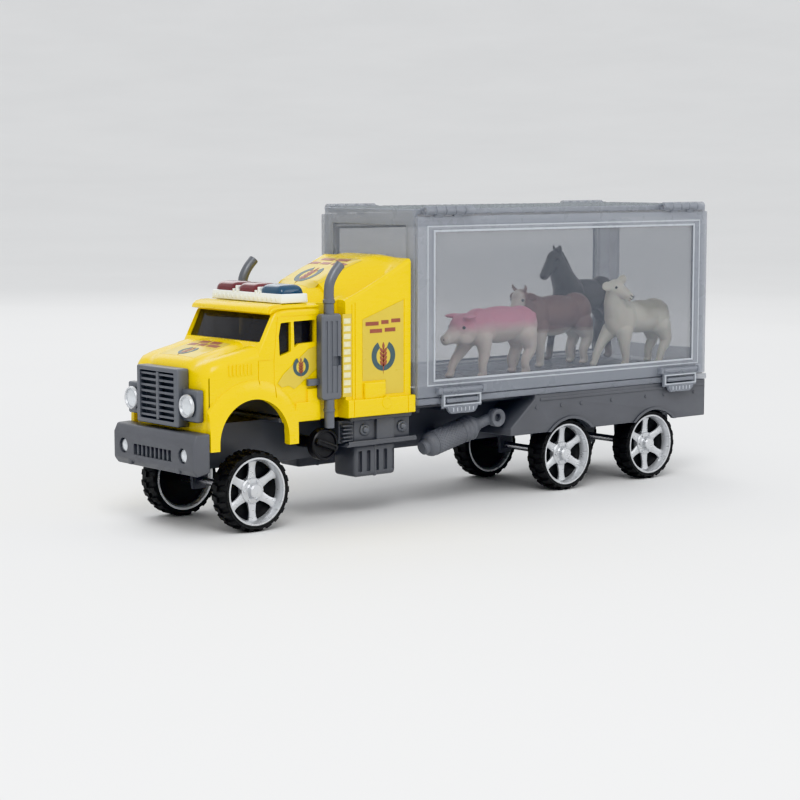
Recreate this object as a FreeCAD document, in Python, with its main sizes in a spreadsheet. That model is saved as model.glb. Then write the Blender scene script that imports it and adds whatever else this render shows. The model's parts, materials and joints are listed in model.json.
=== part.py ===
"""Toy livestock transporter: a rigid three-axle toy truck whose clear-sided case carries four farm animals.

Row frame: millimetres, +Z up from the ground under the wheels. The truck faces -X and its left side is -Y.
The lift-up side door with its two latches is on the left side. Each sub-part is one labelled object of the
document and is written to parts/LABEL.step.
"""
import FreeCAD
import Part
import Sketcher
import math
import os

V = FreeCAD.Vector
LEFT, RIGHT = -1, 1
SIDES = (("left", LEFT), ("right", RIGHT))

# alias, value in mm (or degrees, or a count), what it is
DIMENSIONS = (
    ("cab_front", -134.0, "front face of the hood"),
    ("cab_rear", -35.0, "rear face of the sleeper"),
    ("cab_half", 27.0, "half width of hood, doors and roof"),
    ("sleeper_half", 29.5, "half width of the sleeper"),
    ("skirt_half", 31.5, "half width over the sleeper's skirts"),
    ("flare_half", 28.6, "half width over the wheel arch flares"),
    ("cab_wall", 1.6, "wall of the cab shell"),
    ("cab_sill", 41.5, "lower edge of doors and skirts"),
    ("leg_tip", 33.0, "lower tip of the fender's rear leg"),
    ("hood_front_top", 67.0, "hood height at its nose"),
    ("cowl", 72.5, "hood height at the windscreen"),
    ("cowl_x", -109.0, "foot of the windscreen"),
    ("roof", 88.0, "top of the cab roof"),
    ("visor_x", -106.0, "front edge of the roof visor"),
    ("fairing_foot", -82.0, "where the roof fairing starts"),
    ("fairing_top", 106.0, "top of the roof fairing"),
    ("door_rear", -80.5, "rear end of the cab door"),
    ("sleeper_front", -69.0, "front face of the sleeper"),
    ("recess_half", 24.2, "half width inside the stack recess"),
    ("arch_up", 35.5, "height of the front arch's centre"),
    ("arch_r_mm", 16.6, "radius of the front wheel arch"),
    ("front_axle_x", -113.0, "front axle"),
    ("middle_axle_x", 55.0, "middle axle"),
    ("rear_axle_x", 108.0, "rear axle"),
    ("tyre_radius", 16.0, "tyre radius, also the axle height"),
    ("tyre_width", 10.0, "tyre width"),
    ("bead_radius", 13.5, "tyre's inner radius at the rim"),
    ("wheel_face", 30.0, "outer face of the wheels from the centre line"),
    ("axle_radius", 1.5, "axle radius"),
    ("running_gap", 0.05, "radial clearance of a turning shaft"),
    ("case_front", -33.5, "front face of the case"),
    ("case_rear", 142.0, "rear face of the case"),
    ("case_bottom", 44.0, "lower rim of the case"),
    ("case_top", 124.5, "roof of the case"),
    ("case_near", 30.0, "case's open side, from the centre line"),
    ("case_far", 32.5, "case's closed side, from the centre line"),
    ("case_wall", 1.8, "wall of the case"),
    ("floor_top", 51.5, "floor that the animals stand on"),
    ("rib_pitch", 4.4, "pitch of the roof ribs"),
    ("rib_height", 0.6, "height of a roof rib"),
    ("door_face", 32.5, "outer face of the side door"),
    ("door_back", 30.2, "inner face of the side door"),
    ("door_low", 47.0, "lower edge of the side door"),
    ("door_high", 121.6, "upper edge of the side door"),
    ("door_stile", 9.0, "width of the door frame's ends"),
    ("door_rail", 6.0, "height of the door frame's rails"),
    ("hinge_y", 32.6, "hinge axis from the centre line"),
    ("hinge_z", 124.0, "hinge axis height"),
    ("knuckle_radius", 2.0, "hinge knuckle"),
    ("knuckle_long", 5.0, "length of one hinge knuckle"),
    ("hub_radius", 3.6, "hub of a wheel"),
    ("hinge_gap", 0.3, "gap between two knuckles"),
    ("pin_radius", 0.8, "hinge pin"),
    ("hinge_front_x", -17.0, "centre of the front hinge"),
    ("hinge_rear_x", 124.0, "centre of the rear hinge"),
    ("latch_front_x", -11.0, "centre of the front latch"),
    ("latch_rear_x", 122.0, "centre of the rear latch"),
    ("latch_width", 22.0, "width of a latch"),
    ("latch_y", 34.1, "latch axis from the centre line"),
    ("latch_barrel", 1.2, "radius of the latch's barrel"),
    ("lug_face", 35.0, "outer end of the latch lug on the sill"),
    ("latch_z", 49.6, "latch axis height"),
    ("latch_pin", 0.7, "latch trunnion radius"),
    ("bed_half", 32.0, "half width of the trailer bed"),
    ("bed_deck", 41.5, "underside of the bed's deck"),
    ("skirt_low", 27.0, "lower edge of the bed's side skirts"),
    ("skirt_wall", 1.6, "wall of the bed's skirts"),
    ("beam_half", 12.0, "half width of the chassis beam"),
    ("beam_low", 24.0, "underside of the chassis beam"),
    ("saddle_low", 12.5, "underside of the axle saddles"),
    ("beam_wall", 2.0, "wall of the chassis beam"),
    ("stack_x", -77.3, "axis of the exhaust stacks"),
    ("stack_y", 29.4, "exhaust stacks from the centre line"),
    ("shroud_long", 10.0, "length of a stack's box-shaped shroud"),
    ("shroud_deep", 4.1, "depth of a stack's shroud"),
    ("pipe_radius", 2.1, "stack pipe"),
    ("cap_x", -79.2, "centre of the filler cap"),
    ("cap_z", 31.6, "height of the filler cap"),
    ("cap_radius", 6.4, "radius of the filler cap"),
    ("muffler_radius", 5.6, "drum of the slanted silencer"),
    ("muffler_y", 25.0, "silencer's axis from the centre line"),
    ("muffler_tilt", 14.0, "slant of the silencer, degrees"),
    ("bumper_front", -142.0, "foremost face of the bumper"),
    ("sticker_thick", 0.2, "thickness of the stickers"),
)

doc = FreeCAD.newDocument("livestock_transporter")
sheet = doc.addObject("Spreadsheet::Sheet", "Sizes")
for row, (alias, value, meaning) in enumerate(DIMENSIONS, start=1):
    sheet.set(f"A{row}", str(value))
    sheet.set(f"B{row}", meaning)
    sheet.setAlias(f"A{row}", alias)
doc.recompute()

S = {alias: f"Sizes.{alias}" for alias, _, _ in DIMENSIONS}
parts = []


# ---------------------------------------------------------------- helpers

def number(expression):
    """Value of an expression that may use the sheet's cells."""
    value = sheet.evalExpression(str(expression))
    return float(getattr(value, "Value", value))


def bind(item, **expressions):
    """Binds properties of an object to expressions. A double underscore stands for a dot."""
    for name, expression in expressions.items():
        item.setExpression(name.replace("__", "."), str(expression))
    return item


def at(item, x, y, z):
    return bind(item, Placement__Base__x=x, Placement__Base__y=y, Placement__Base__z=z)


def keep(item, label):
    """Marks an object as a sub-part: its label names its file."""
    item.Label = label
    parts.append(item)
    return item


def box(x0, x1, y0, y1, z0, z1):
    """Block between two corners, each coordinate an expression."""
    item = doc.addObject("Part::Box", "block")
    bind(item, Length=f"({x1}) - ({x0})", Width=f"({y1}) - ({y0})", Height=f"({z1}) - ({z0})")
    return at(item, x0, y0, z0)


def twin_boxes(x0, x1, inner, outer, z0, z1):
    """The same block on both sides of the centre line, from inner to outer."""
    return [box(x0, x1, f"-({outer})", f"-({inner})", z0, z1), box(x0, x1, inner, outer, z0, z1)]


AXES = {"X": V(0, 1, 0), "Y": V(1, 0, 0), "Z": V(0, 0, 1)}
TURNS = {"X": 90, "Y": -90, "Z": 0}


def rod(axis, start, radius, length):
    """Cylinder that runs from start along +axis."""
    item = doc.addObject("Part::Cylinder", "rod")
    item.Placement = FreeCAD.Placement(V(), FreeCAD.Rotation(AXES[axis], TURNS[axis]))
    bind(item, Radius=radius, Height=length)
    return at(item, *start)


def ball(centre, radius):
    item = doc.addObject("Part::Sphere", "ball")
    bind(item, Radius=radius)
    return at(item, *centre)


def common(first, second):
    item = doc.addObject("Part::Common", "common")
    item.Base = first
    item.Tool = second
    return item


def fuse(*items):
    item = doc.addObject("Part::MultiFuse", "joined")
    item.Shapes = list(items)
    return item


def cut(base, *tools):
    item = doc.addObject("Part::Cut", "trimmed")
    item.Base = base
    item.Tool = tools[0] if len(tools) == 1 else fuse(*tools)
    return item


def rounded(base, radius, wanted):
    """Fillets the edges of base for which wanted(edge) is true."""
    doc.recompute()
    r = number(radius)
    chosen = [i for i, edge in enumerate(base.Shape.Edges, start=1) if wanted(edge)]
    item = doc.addObject("Part::Fillet", "rounded")
    item.Base = base
    item.Edges = [(i, r, r) for i in chosen]
    return item


def along(axis, edge):
    """True for a straight edge that runs along an axis."""
    if edge.Curve.TypeId != "Part::GeomLine":
        return False
    direction = edge.Vertexes[-1].Point - edge.Vertexes[0].Point
    return abs(direction.normalize().dot({"X": V(1, 0, 0), "Y": V(0, 1, 0), "Z": V(0, 0, 1)}[axis])) > 0.999


def near(value, target, slack=0.01):
    return abs(value - target) < slack


def middle(edge):
    return edge.valueAt((edge.FirstParameter + edge.LastParameter) / 2)


def plane(body, role):
    return [f for f in body.Origin.OriginFeatures if f.Role == role][0]


def sketch(body, name, role, points=(), circles=(), offset="0"):
    """Sketch on an origin plane. points are (across, up) expression pairs of a closed outline, and
    circles are (across, up, radius). Every point is dimensioned from the origin by its expressions."""
    item = body.newObject("Sketcher::SketchObject", name)
    item.AttachmentSupport = [(plane(body, role), "")]
    item.MapMode = "FlatFace"
    item.setExpression("AttachmentOffset.Base.z", offset)
    spots = [V(number(x), number(y), 0) for x, y in points]
    for i, spot in enumerate(spots):
        item.addGeometry(Part.LineSegment(spot, spots[(i + 1) % len(spots)]), False)
    for i in range(len(spots)):
        item.addConstraint(Sketcher.Constraint("Coincident", i, 2, (i + 1) % len(spots), 1))
    for i, (pair, spot) in enumerate(zip(points, spots)):
        for kind, expression, value in (("DistanceX", pair[0], spot.x), ("DistanceY", pair[1], spot.y)):
            n = item.addConstraint(Sketcher.Constraint(kind, -1, 1, i, 1, value))
            item.setExpression(f"Constraints[{n}]", str(expression))
    for x, y, radius in circles:
        centre = V(number(x), number(y), 0)
        g = item.addGeometry(Part.Circle(centre, V(0, 0, 1), number(radius)), False)
        for kind, expression, value in (("DistanceX", x, centre.x), ("DistanceY", y, centre.y)):
            n = item.addConstraint(Sketcher.Constraint(kind, -1, 1, g, 3, value))
            item.setExpression(f"Constraints[{n}]", str(expression))
        n = item.addConstraint(Sketcher.Constraint("Radius", g, number(radius)))
        item.setExpression(f"Constraints[{n}]", str(radius))
    return item


def new_body(name):
    return doc.addObject("PartDesign::Body", name)


def pad(body, profile, length, centred=False, back=False):
    item = body.newObject("PartDesign::Pad", "pad")
    item.Profile = profile
    item.Midplane = centred
    item.Reversed = back
    return bind(item, Length=length)


def pocket(body, profile, length, centred=False, back=False):
    doc.recompute()
    item = body.newObject("PartDesign::Pocket", "pocket")
    item.Profile = profile
    item.Midplane = centred
    item.Reversed = back
    return bind(item, Length=length)


def revolve(body, profile, role):
    item = body.newObject("PartDesign::Revolution", "revolution")
    item.Profile = profile
    item.ReferenceAxis = (plane(body, role), [""])
    item.Angle = 360
    return item


def polar(body, feature, role, count):
    item = body.newObject("PartDesign::PolarPattern", "polar")
    item.Originals = [feature]
    item.Axis = (plane(body, role), [""])
    item.Angle = 360
    item.Occurrences = count
    body.Tip = item
    return item


def side_box(side, x0, x1, inner, outer, z0, z1):
    """Block on one side of the truck, from inner to outer off the centre line."""
    if side == LEFT:
        return box(x0, x1, f"-({outer})", f"-({inner})", z0, z1)
    return box(x0, x1, inner, outer, z0, z1)


def side_rod(side, x, inner, z, radius, length):
    """Cylinder across the truck that starts at inner and runs outwards."""
    start = f"-({inner}) - ({length})" if side == LEFT else inner
    return rod("Y", (x, start, z), radius, length)


def slab(name, outline, half):
    """Body whose side outline is padded evenly about the centre line."""
    body = new_body(name)
    pad(body, sketch(body, "outline", "XZ_Plane", outline), f"2 * ({half})", centred=True)
    return body


def side_slab(side, name, outline, inner, outer):
    """Body whose side outline is padded from inner to outer on one side."""
    body = new_body(name)
    profile = sketch(body, "outline", "XZ_Plane", outline, offset=f"{-side} * ({inner})")
    pad(body, profile, f"({outer}) - ({inner})", back=side == RIGHT)
    return body


# ---------------------------------------------------------------- chassis and wheels

AXLES = (("front", S["front_axle_x"]), ("middle", S["middle_axle_x"]), ("rear", S["rear_axle_x"]))


def chassis():
    """Open-bottomed channel with a pair of bored ears at every axle."""
    low, high = S["beam_low"], "Sizes.bed_deck"
    outline = [(S["cab_front"], low), (S["cab_front"], "Sizes.leg_tip + 2.8"),
               ("Sizes.cab_front + Sizes.cab_wall", "Sizes.leg_tip + 2.8"), ("Sizes.cab_front + Sizes.cab_wall", high),
               ("Sizes.case_rear - 4", high), ("Sizes.case_rear - 4", low)]
    for _, x in reversed(AXLES):
        outline += [(f"{x} + 4", low), (f"{x} + 3", S["saddle_low"]), (f"{x} - 3", S["saddle_low"]), (f"{x} - 4", low)]
    body = slab("chassis", outline, S["beam_half"])
    hollow = sketch(body, "hollow", "XY_Plane", [
        ("Sizes.cab_front + 2 * Sizes.beam_wall", "-Sizes.beam_half + Sizes.beam_wall"),
        ("Sizes.case_rear - 4 - Sizes.beam_wall", "-Sizes.beam_half + Sizes.beam_wall"),
        ("Sizes.case_rear - 4 - Sizes.beam_wall", "Sizes.beam_half - Sizes.beam_wall"),
        ("Sizes.cab_front + 2 * Sizes.beam_wall", "Sizes.beam_half - Sizes.beam_wall")])
    pocket(body, hollow, f"{high} - Sizes.beam_wall", back=True)
    bores = sketch(body, "bores", "XZ_Plane",
                   circles=[(x, S["tyre_radius"], "Sizes.axle_radius + Sizes.running_gap") for _, x in AXLES])
    pocket(body, bores, "4 * Sizes.beam_half", centred=True)
    keep(body, "chassis_frame")


def wheel_tyre(label, x, side):
    body = new_body("tyre")
    half, crown = "Sizes.tyre_width / 2", S["tyre_radius"]
    profile = sketch(body, "profile", "XY_Plane", [
        (S["bead_radius"], f"-{half} + 0.4"), (f"{crown} - 1.4", f"-{half}"), (crown, f"-{half} + 1.4"),
        (crown, f"{half} - 1.4"), (f"{crown} - 1.4", half), (S["bead_radius"], f"{half} - 0.4")])
    revolve(body, profile, "Y_Axis")
    groove = sketch(body, "groove", "XY_Plane", [
        ("-0.6", "0.8"), ("0.6", "0.8"), ("1.2", f"{half} + 1"), ("0", f"{half} + 1")], offset=f"{crown} - 1")
    cutter = pocket(body, groove, "3", back=True)
    polar(body, cutter, "Y_Axis", 24)
    doc.recompute()
    other = sketch(body, "other_groove", "XY_Plane", [
        ("1.5", "-0.8"), ("2.7", "-0.8"), ("2.1", f"-{half} - 1"), ("0.9", f"-{half} - 1")], offset=f"{crown} - 1")
    polar(body, pocket(body, other, "3", back=True), "Y_Axis", 24)
    at(body, x, f"{side} * (Sizes.wheel_face - Sizes.tyre_width / 2)", crown)
    keep(body, label)


def wheel_rim(label, x, side):
    """Rim barrel with a dished web, six round windows and a hub bored for the axle."""
    body = new_body("rim")
    half, edge = "(Sizes.tyre_width / 2 - 0.4)", S["bead_radius"]
    profile = sketch(body, "profile", "XY_Plane", [
        (S["axle_radius"], f"-{half}"), (S["hub_radius"], f"-{half}"), (S["hub_radius"], f"{side} * 1 - 1"),
        (f"{edge} - 1.5", f"{side} * 1 - 1"), (f"{edge} - 1.5", f"-{half}"), (edge, f"-{half}"), (edge, half),
        (f"{edge} - 1.5", half), (f"{edge} - 1.5", f"{side} * 1 + 1"), (S["hub_radius"], f"{side} * 1 + 1"),
        (S["hub_radius"], half), (S["axle_radius"], half)])
    revolve(body, profile, "Y_Axis")
    window = sketch(body, "window", "XZ_Plane", circles=[(f"({edge} - 1.5 + Sizes.hub_radius) / 2", "0", "2.4")])
    polar(body, pocket(body, window, "2 * Sizes.tyre_width", centred=True), "Y_Axis", 6)
    at(body, x, f"{side} * (Sizes.wheel_face - Sizes.tyre_width / 2)", S["tyre_radius"])
    keep(body, label)


def wheels():
    for name, x in AXLES:
        reach = "Sizes.wheel_face - 0.4"
        keep(rod("Y", (x, f"-({reach})", S["tyre_radius"]), S["axle_radius"], f"2 * ({reach})"), f"axle_{name}")
        for side_name, side in SIDES:
            wheel_tyre(f"tyre_{name}_{side_name}", x, side)
            wheel_rim(f"rim_{name}_{side_name}", x, side)


# ---------------------------------------------------------------- cab

CAB_OUTLINE = (("Sizes.cab_front", "Sizes.leg_tip + 3"), ("Sizes.cab_front", "Sizes.hood_front_top - 5"),
               ("Sizes.cab_front + 4", "Sizes.hood_front_top"), ("Sizes.cowl_x", "Sizes.cowl"),
               ("Sizes.visor_x + 3.5", "Sizes.roof - 4"), ("Sizes.visor_x", "Sizes.roof - 3.4"),
               ("Sizes.visor_x + 1", "Sizes.roof - 0.8"), ("Sizes.visor_x + 4", "Sizes.roof"),
               ("Sizes.sleeper_front + 1", "Sizes.roof"), ("Sizes.sleeper_front + 1", "Sizes.cab_sill"),
               ("Sizes.front_axle_x + 20.6", "Sizes.cab_sill"), ("Sizes.front_axle_x + 20.6", "Sizes.leg_tip"),
               ("Sizes.front_axle_x + 14", "Sizes.leg_tip"))
CAB_INSIDE = (("Sizes.cab_front + Sizes.cab_wall", "Sizes.leg_tip - 5"),
              ("Sizes.cab_front + Sizes.cab_wall", "Sizes.hood_front_top - 6"),
              ("Sizes.cab_front + 5", "Sizes.hood_front_top - 1.7"),
              ("Sizes.cowl_x + 0.9", "Sizes.cowl - 1.6"), ("Sizes.visor_x + 4.9", "Sizes.roof - 1.7"),
              ("Sizes.sleeper_front + 3", "Sizes.roof - 1.7"), ("Sizes.sleeper_front + 3", "Sizes.leg_tip - 5"))
SLEEPER_OUTLINE = (("Sizes.sleeper_front", "Sizes.cab_sill"), ("Sizes.sleeper_front", "Sizes.roof + 0.6"),
                   ("Sizes.cab_rear", "Sizes.fairing_top - 1"), ("Sizes.cab_rear", "Sizes.cab_sill"))
SLEEPER_INSIDE = (("Sizes.sleeper_front + Sizes.cab_wall", "Sizes.cab_sill - 5"),
                  ("Sizes.sleeper_front + Sizes.cab_wall", "Sizes.roof - 3"),
                  ("Sizes.cab_rear - Sizes.cab_wall", "Sizes.roof + 6"),
                  ("Sizes.cab_rear - Sizes.cab_wall", "Sizes.cab_sill - 5"))
FAIRING_OUTLINE = (("Sizes.fairing_foot", "Sizes.roof - 0.8"), ("Sizes.fairing_foot + 8", "Sizes.roof + 5.5"),
                   ("Sizes.fairing_foot + 17", "Sizes.roof + 11"), ("Sizes.fairing_foot + 30", "Sizes.roof + 16"),
                   ("Sizes.cab_rear", "Sizes.fairing_top"), ("Sizes.cab_rear", "Sizes.roof - 0.8"))
SCOOP_OUTLINE = (("Sizes.sleeper_front - 1", "Sizes.roof + 0.1"), ("Sizes.cab_rear - 1.6", "Sizes.roof + 11.5"),
                 ("Sizes.cab_rear - 1.6", "Sizes.fairing_top + 5"), ("Sizes.sleeper_front - 1", "Sizes.fairing_top + 5"))
SIDE_WINDOW = (("Sizes.cowl_x + 16.4", "71"), ("Sizes.cowl_x + 18.6", "72.4"), ("Sizes.door_rear - 1.2", "72.8"),
               ("Sizes.door_rear - 1.2", "81.6"), ("Sizes.cowl_x + 16.2", "81.4"))
VENT_WINDOW = (("Sizes.cowl_x + 9.2", "68"), ("Sizes.cowl_x + 14.8", "69.6"), ("Sizes.cowl_x + 14.8", "81.3"),
               ("Sizes.cowl_x + 9.8", "81"), ("Sizes.cowl_x + 8.8", "76"))
WINDSCREEN = (("Sizes.cowl_x - 2", "Sizes.cowl + 0.9"), ("Sizes.cowl_x - 2", "Sizes.roof - 4"),
              ("Sizes.cowl_x + 9", "Sizes.roof - 4"), ("Sizes.cowl_x + 4", "Sizes.cowl + 0.9"))


def cab_shell():
    """Hood, cab, sleeper and roof fairing moulded as one open-bottomed shell."""
    wall = S["cab_wall"]
    body = slab("cab_block", CAB_OUTLINE, S["cab_half"])
    recess = twin_boxes(S["door_rear"], S["sleeper_front"], S["recess_half"], "Sizes.cab_half + 2",
                        "Sizes.leg_tip - 3", "Sizes.roof + 3")
    cab = cut(body, *recess)
    sleeper = cut(slab("sleeper_block", SLEEPER_OUTLINE, S["sleeper_half"]),
                  side_slab(LEFT, "scoop_left", SCOOP_OUTLINE, "15", "Sizes.sleeper_half - 1.7"),
                  side_slab(RIGHT, "scoop_right", SCOOP_OUTLINE, "15", "Sizes.sleeper_half - 1.7"))
    fairing = slab("fairing_block", FAIRING_OUTLINE, "18")
    skirts = twin_boxes("Sizes.sleeper_front - 4", "Sizes.cab_rear + 1.5", "Sizes.sleeper_half - 1.7", S["skirt_half"],
                        S["cab_sill"], "Sizes.cab_sill + 7.2")
    flares = []
    for side_name, side in SIDES:
        ring = side_rod(side, S["front_axle_x"], "Sizes.cab_half - 0.5", S["arch_up"], "Sizes.arch_r_mm + 7.8",
                        "Sizes.flare_half - Sizes.cab_half + 0.5")
        below = box("Sizes.cab_front - 10", "Sizes.sleeper_front", "-40", "40", "0", S["arch_up"])
        ahead = box("Sizes.cab_front - 10", "Sizes.cab_front + 0.3", "-40", "40", "0", S["roof"])
        behind = box("Sizes.front_axle_x + 21.4", "Sizes.sleeper_front", "-40", "40", "0", S["roof"])
        flares.append(cut(ring, below, ahead, behind))
    outside = fuse(cab, sleeper, fairing, *skirts, *flares)
    arch = rod("Y", (S["front_axle_x"], "-40", S["arch_up"]), S["arch_r_mm"], "80")
    below_arch = box("Sizes.front_axle_x - Sizes.arch_r_mm", "Sizes.front_axle_x + Sizes.arch_r_mm", "-40", "40",
                     "0", S["arch_up"])
    cavity = fuse(cut(slab("cab_cavity", CAB_INSIDE, f"Sizes.cab_half - {wall}"),
                      *twin_boxes(f"Sizes.door_rear - {wall}", "Sizes.sleeper_front + 5",
                                  f"Sizes.recess_half - {wall}", S["cab_half"], "0", "Sizes.roof + 3")),
                  slab("sleeper_cavity", SLEEPER_INSIDE, f"Sizes.sleeper_half - {wall}"))
    windows = [slab("side_window", SIDE_WINDOW, "40"), slab("vent_window", VENT_WINDOW, "40"),
               slab("windscreen", WINDSCREEN, "25.3")]
    keep(cut(outside, cavity, arch, below_arch, *windows), "cab_shell")


def cab_inside():
    """Smoked glazing and the moulded tub with seats, dashboard and steering wheel."""
    wall = f"Sizes.cab_half - {S['cab_wall']}"
    panes = [side_box(side, "Sizes.cowl_x + 8.2", "Sizes.door_rear - 1.7", f"{wall} - 0.8", wall, "67", "83.5")
             for _, side in SIDES]
    screen = slab("screen", [("Sizes.cowl_x + 1.2", "Sizes.cowl - 1"), ("Sizes.visor_x + 4.6", "Sizes.roof - 3.4"),
                             ("Sizes.visor_x + 5.6", "Sizes.roof - 3.4"), ("Sizes.cowl_x + 2.2", "Sizes.cowl - 1")],
                  f"{wall} - 0.1")
    keep(fuse(screen, *panes), "cab_glazing")
    deck = "Sizes.bed_deck"
    keep(fuse(box("Sizes.cowl_x + 10", "Sizes.door_rear - 1.8", f"-({wall})", wall, deck, f"{deck} + 2"),
              box("Sizes.door_rear - 2", "Sizes.cab_rear - 1.7", "-22.4", "22.4", deck, f"{deck} + 2"),
              box("Sizes.door_rear + 3", "Sizes.door_rear + 5", "-22.4", "22.4", f"{deck} + 1", "84"),
              box("Sizes.cowl_x + 10", "Sizes.cowl_x + 14", "-24", "24", f"{deck} + 1", "66"),
              *[block for _, side in SIDES
                for block in (side_box(side, "-94", "Sizes.door_rear - 2", "3", "20", f"{deck} + 1", "55"),
                              side_box(side, "-84", "Sizes.door_rear + 3.5", "3", "20", "54", "74"))]),
         "cab_interior")
    column = rod("X", ("Sizes.cowl_x + 14", "-11.5", "63"), "1", "3")
    wheel = doc.addObject("Part::Torus", "wheel")
    bind(wheel, Radius1="4.6", Radius2="0.7")
    wheel.Placement = FreeCAD.Placement(V(), FreeCAD.Rotation(V(0, 1, 0), 90))
    at(wheel, "Sizes.cowl_x + 17", "-11.5", "63")
    spokes = [rod("Y", ("Sizes.cowl_x + 17", "-16", "63"), "0.7", "9"),
              rod("Z", ("Sizes.cowl_x + 17", "-11.5", "58.5"), "0.7", "4.5")]
    keep(fuse(column, wheel, ball(("Sizes.cowl_x + 17", "-11.5", "63"), "1.3"), *spokes), "steering_wheel")


def front_end():
    front, nose = S["bumper_front"], S["cab_front"]
    keep(cut(fuse(box("Sizes.bumper_front + 2", nose, "-13.5", "13.5", "42", "64"),
                  box("Sizes.bumper_front + 4", nose, "-24.5", "24.5", "44", "57")),
             *[box(f"{front} + 1", "Sizes.bumper_front + 4", "-11.8", "11.8", f"44 + 4 * {i}", f"46.4 + 4 * {i}")
               for i in range(5)]), "front_grille")
    bar = slab("bumper_block", [(front, "26"), (front, "37"), (f"{front} + 1.5", "40.5"), (nose, "40.5"), (nose, "25"),
                                (f"{front} + 2", "23.5")], "28.5")
    fogs = [rod("X", (f"{front} - 1", f"{side} * 21", "32"), "2.6", "3") for _, side in SIDES]
    slot = box(f"{front} - 1", f"{front} + 2", "-14", "14", "28", "33")
    keep(cut(rounded(bar, "3", lambda e: along("Z", e) and near(middle(e).x, -142)), *fogs, slot), "front_bumper")
    for side_name, side in SIDES:
        lamp = rod("X", ("Sizes.bumper_front + 2.5", f"{side} * 19.5", "50.5"), "4.6", "1.5")
        keep(lamp, f"headlight_{side_name}")


def light_bar():
    keep(fuse(box("-96.8", "-83.4", "-24", "24", S["roof"], "Sizes.roof + 4"),
              *[box("-96.2", "-84", f"{y} - 0.6", f"{y} + 0.6", "Sizes.roof + 4", "Sizes.roof + 6.2") for y in (-7.6, 7.6)]),
         "light_bar_base")
    for name, y0, y1 in (("left", -22.6, -8.3), ("centre", -6.9, 6.9), ("right", 8.3, 22.6)):
        dome = box("-96", "-84.2", y0, y1, "Sizes.roof + 4", "Sizes.roof + 7.6")
        keep(rounded(dome, "3", lambda e: middle(e).z > 95 and not near(middle(e).z, 92)), f"beacon_{name}")


def shroud(side):
    """Box-shaped cover of a stack, with three flutes and a square notch in its outer face."""
    x0, x1 = "Sizes.stack_x - Sizes.shroud_long / 2", "Sizes.stack_x + Sizes.shroud_long / 2"
    inner, outer = "Sizes.stack_y - Sizes.shroud_deep / 2", "Sizes.stack_y + Sizes.shroud_deep / 2"
    cover = rounded(side_box(side, x0, x1, inner, outer, "49.5", "84"), "1.1", lambda e: near(middle(e).z, 66.75))
    flutes = [side_box(side, f"Sizes.stack_x + {x}", f"Sizes.stack_x + {x} + 0.9", f"{outer} - 0.4", f"{outer} + 1",
                       "52", "81.5") for x in ("-2.8", "-0.4", "2")]
    notch = side_box(side, "Sizes.stack_x + 0.9", "Sizes.stack_x + 4.2", f"{outer} - 1.4", f"{outer} + 1", "63.2", "66.8")
    stub = side_box(side, f"{x0} - 5.2", f"{x0} + 1", "Sizes.cab_half + 0.4", S["stack_y"], "55.4", "58.4")
    return [cut(cover, *flutes, notch), stub]


def stacks():
    """Exhaust stack: pipe with a collar, shroud, a tail that bends backwards and two brackets. Filler cap below."""
    for side_name, side in SIDES:
        y = f"{side} * Sizes.stack_y"
        body = new_body("stack")
        pipe = S["pipe_radius"]
        profile = sketch(body, "profile", "XZ_Plane", [
            ("0", "38.2"), (pipe, "38.2"), (pipe, "88"), (f"{pipe} + 0.4", "88.4"), (f"{pipe} + 0.4", "89.6"),
            (pipe, "90"), (pipe, "93"), ("0", "93")])
        revolve(body, profile, "Z_Axis")
        at(body, S["stack_x"], y, "0")
        tail = rod("Z", (S["stack_x"], y, "93"), pipe, "12.5")
        tail.Placement.Rotation = FreeCAD.Rotation(V(0, 1, 0), 36)
        bore = rod("Z", (S["stack_x"], y, "93"), f"{pipe} - 0.6", "14")
        bore.Placement.Rotation = FreeCAD.Rotation(V(0, 1, 0), 36)
        far_end = box("Sizes.stack_x + 3.5", "Sizes.stack_x + 12", "-40", "40", "98", "110")
        mouth = common(bore, far_end)
        brackets = [side_box(side, "Sizes.stack_x - 1.6", "Sizes.stack_x + 1.6", S["recess_half"], S["stack_y"], z, f"{z} + 3.4")
                    for z in ("58", "78")]
        elbow = ball((S["stack_x"], y, "93"), pipe)
        keep(cut(fuse(body, tail, elbow, *shroud(side), *brackets), mouth), f"exhaust_stack_{side_name}")
        stub = side_rod(side, S["cap_x"], S["beam_half"], S["cap_z"], "2.4", "13")
        rim = side_rod(side, S["cap_x"], "25", S["cap_z"], S["cap_radius"], "4.6")
        grip = side_box(side, "Sizes.cap_x - 5.2", "Sizes.cap_x + 5.2", "29.6", "31.2", "Sizes.cap_z - 1.1", "Sizes.cap_z + 1.1")
        keep(fuse(stub, rim, grip), f"filler_cap_{side_name}")


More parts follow.
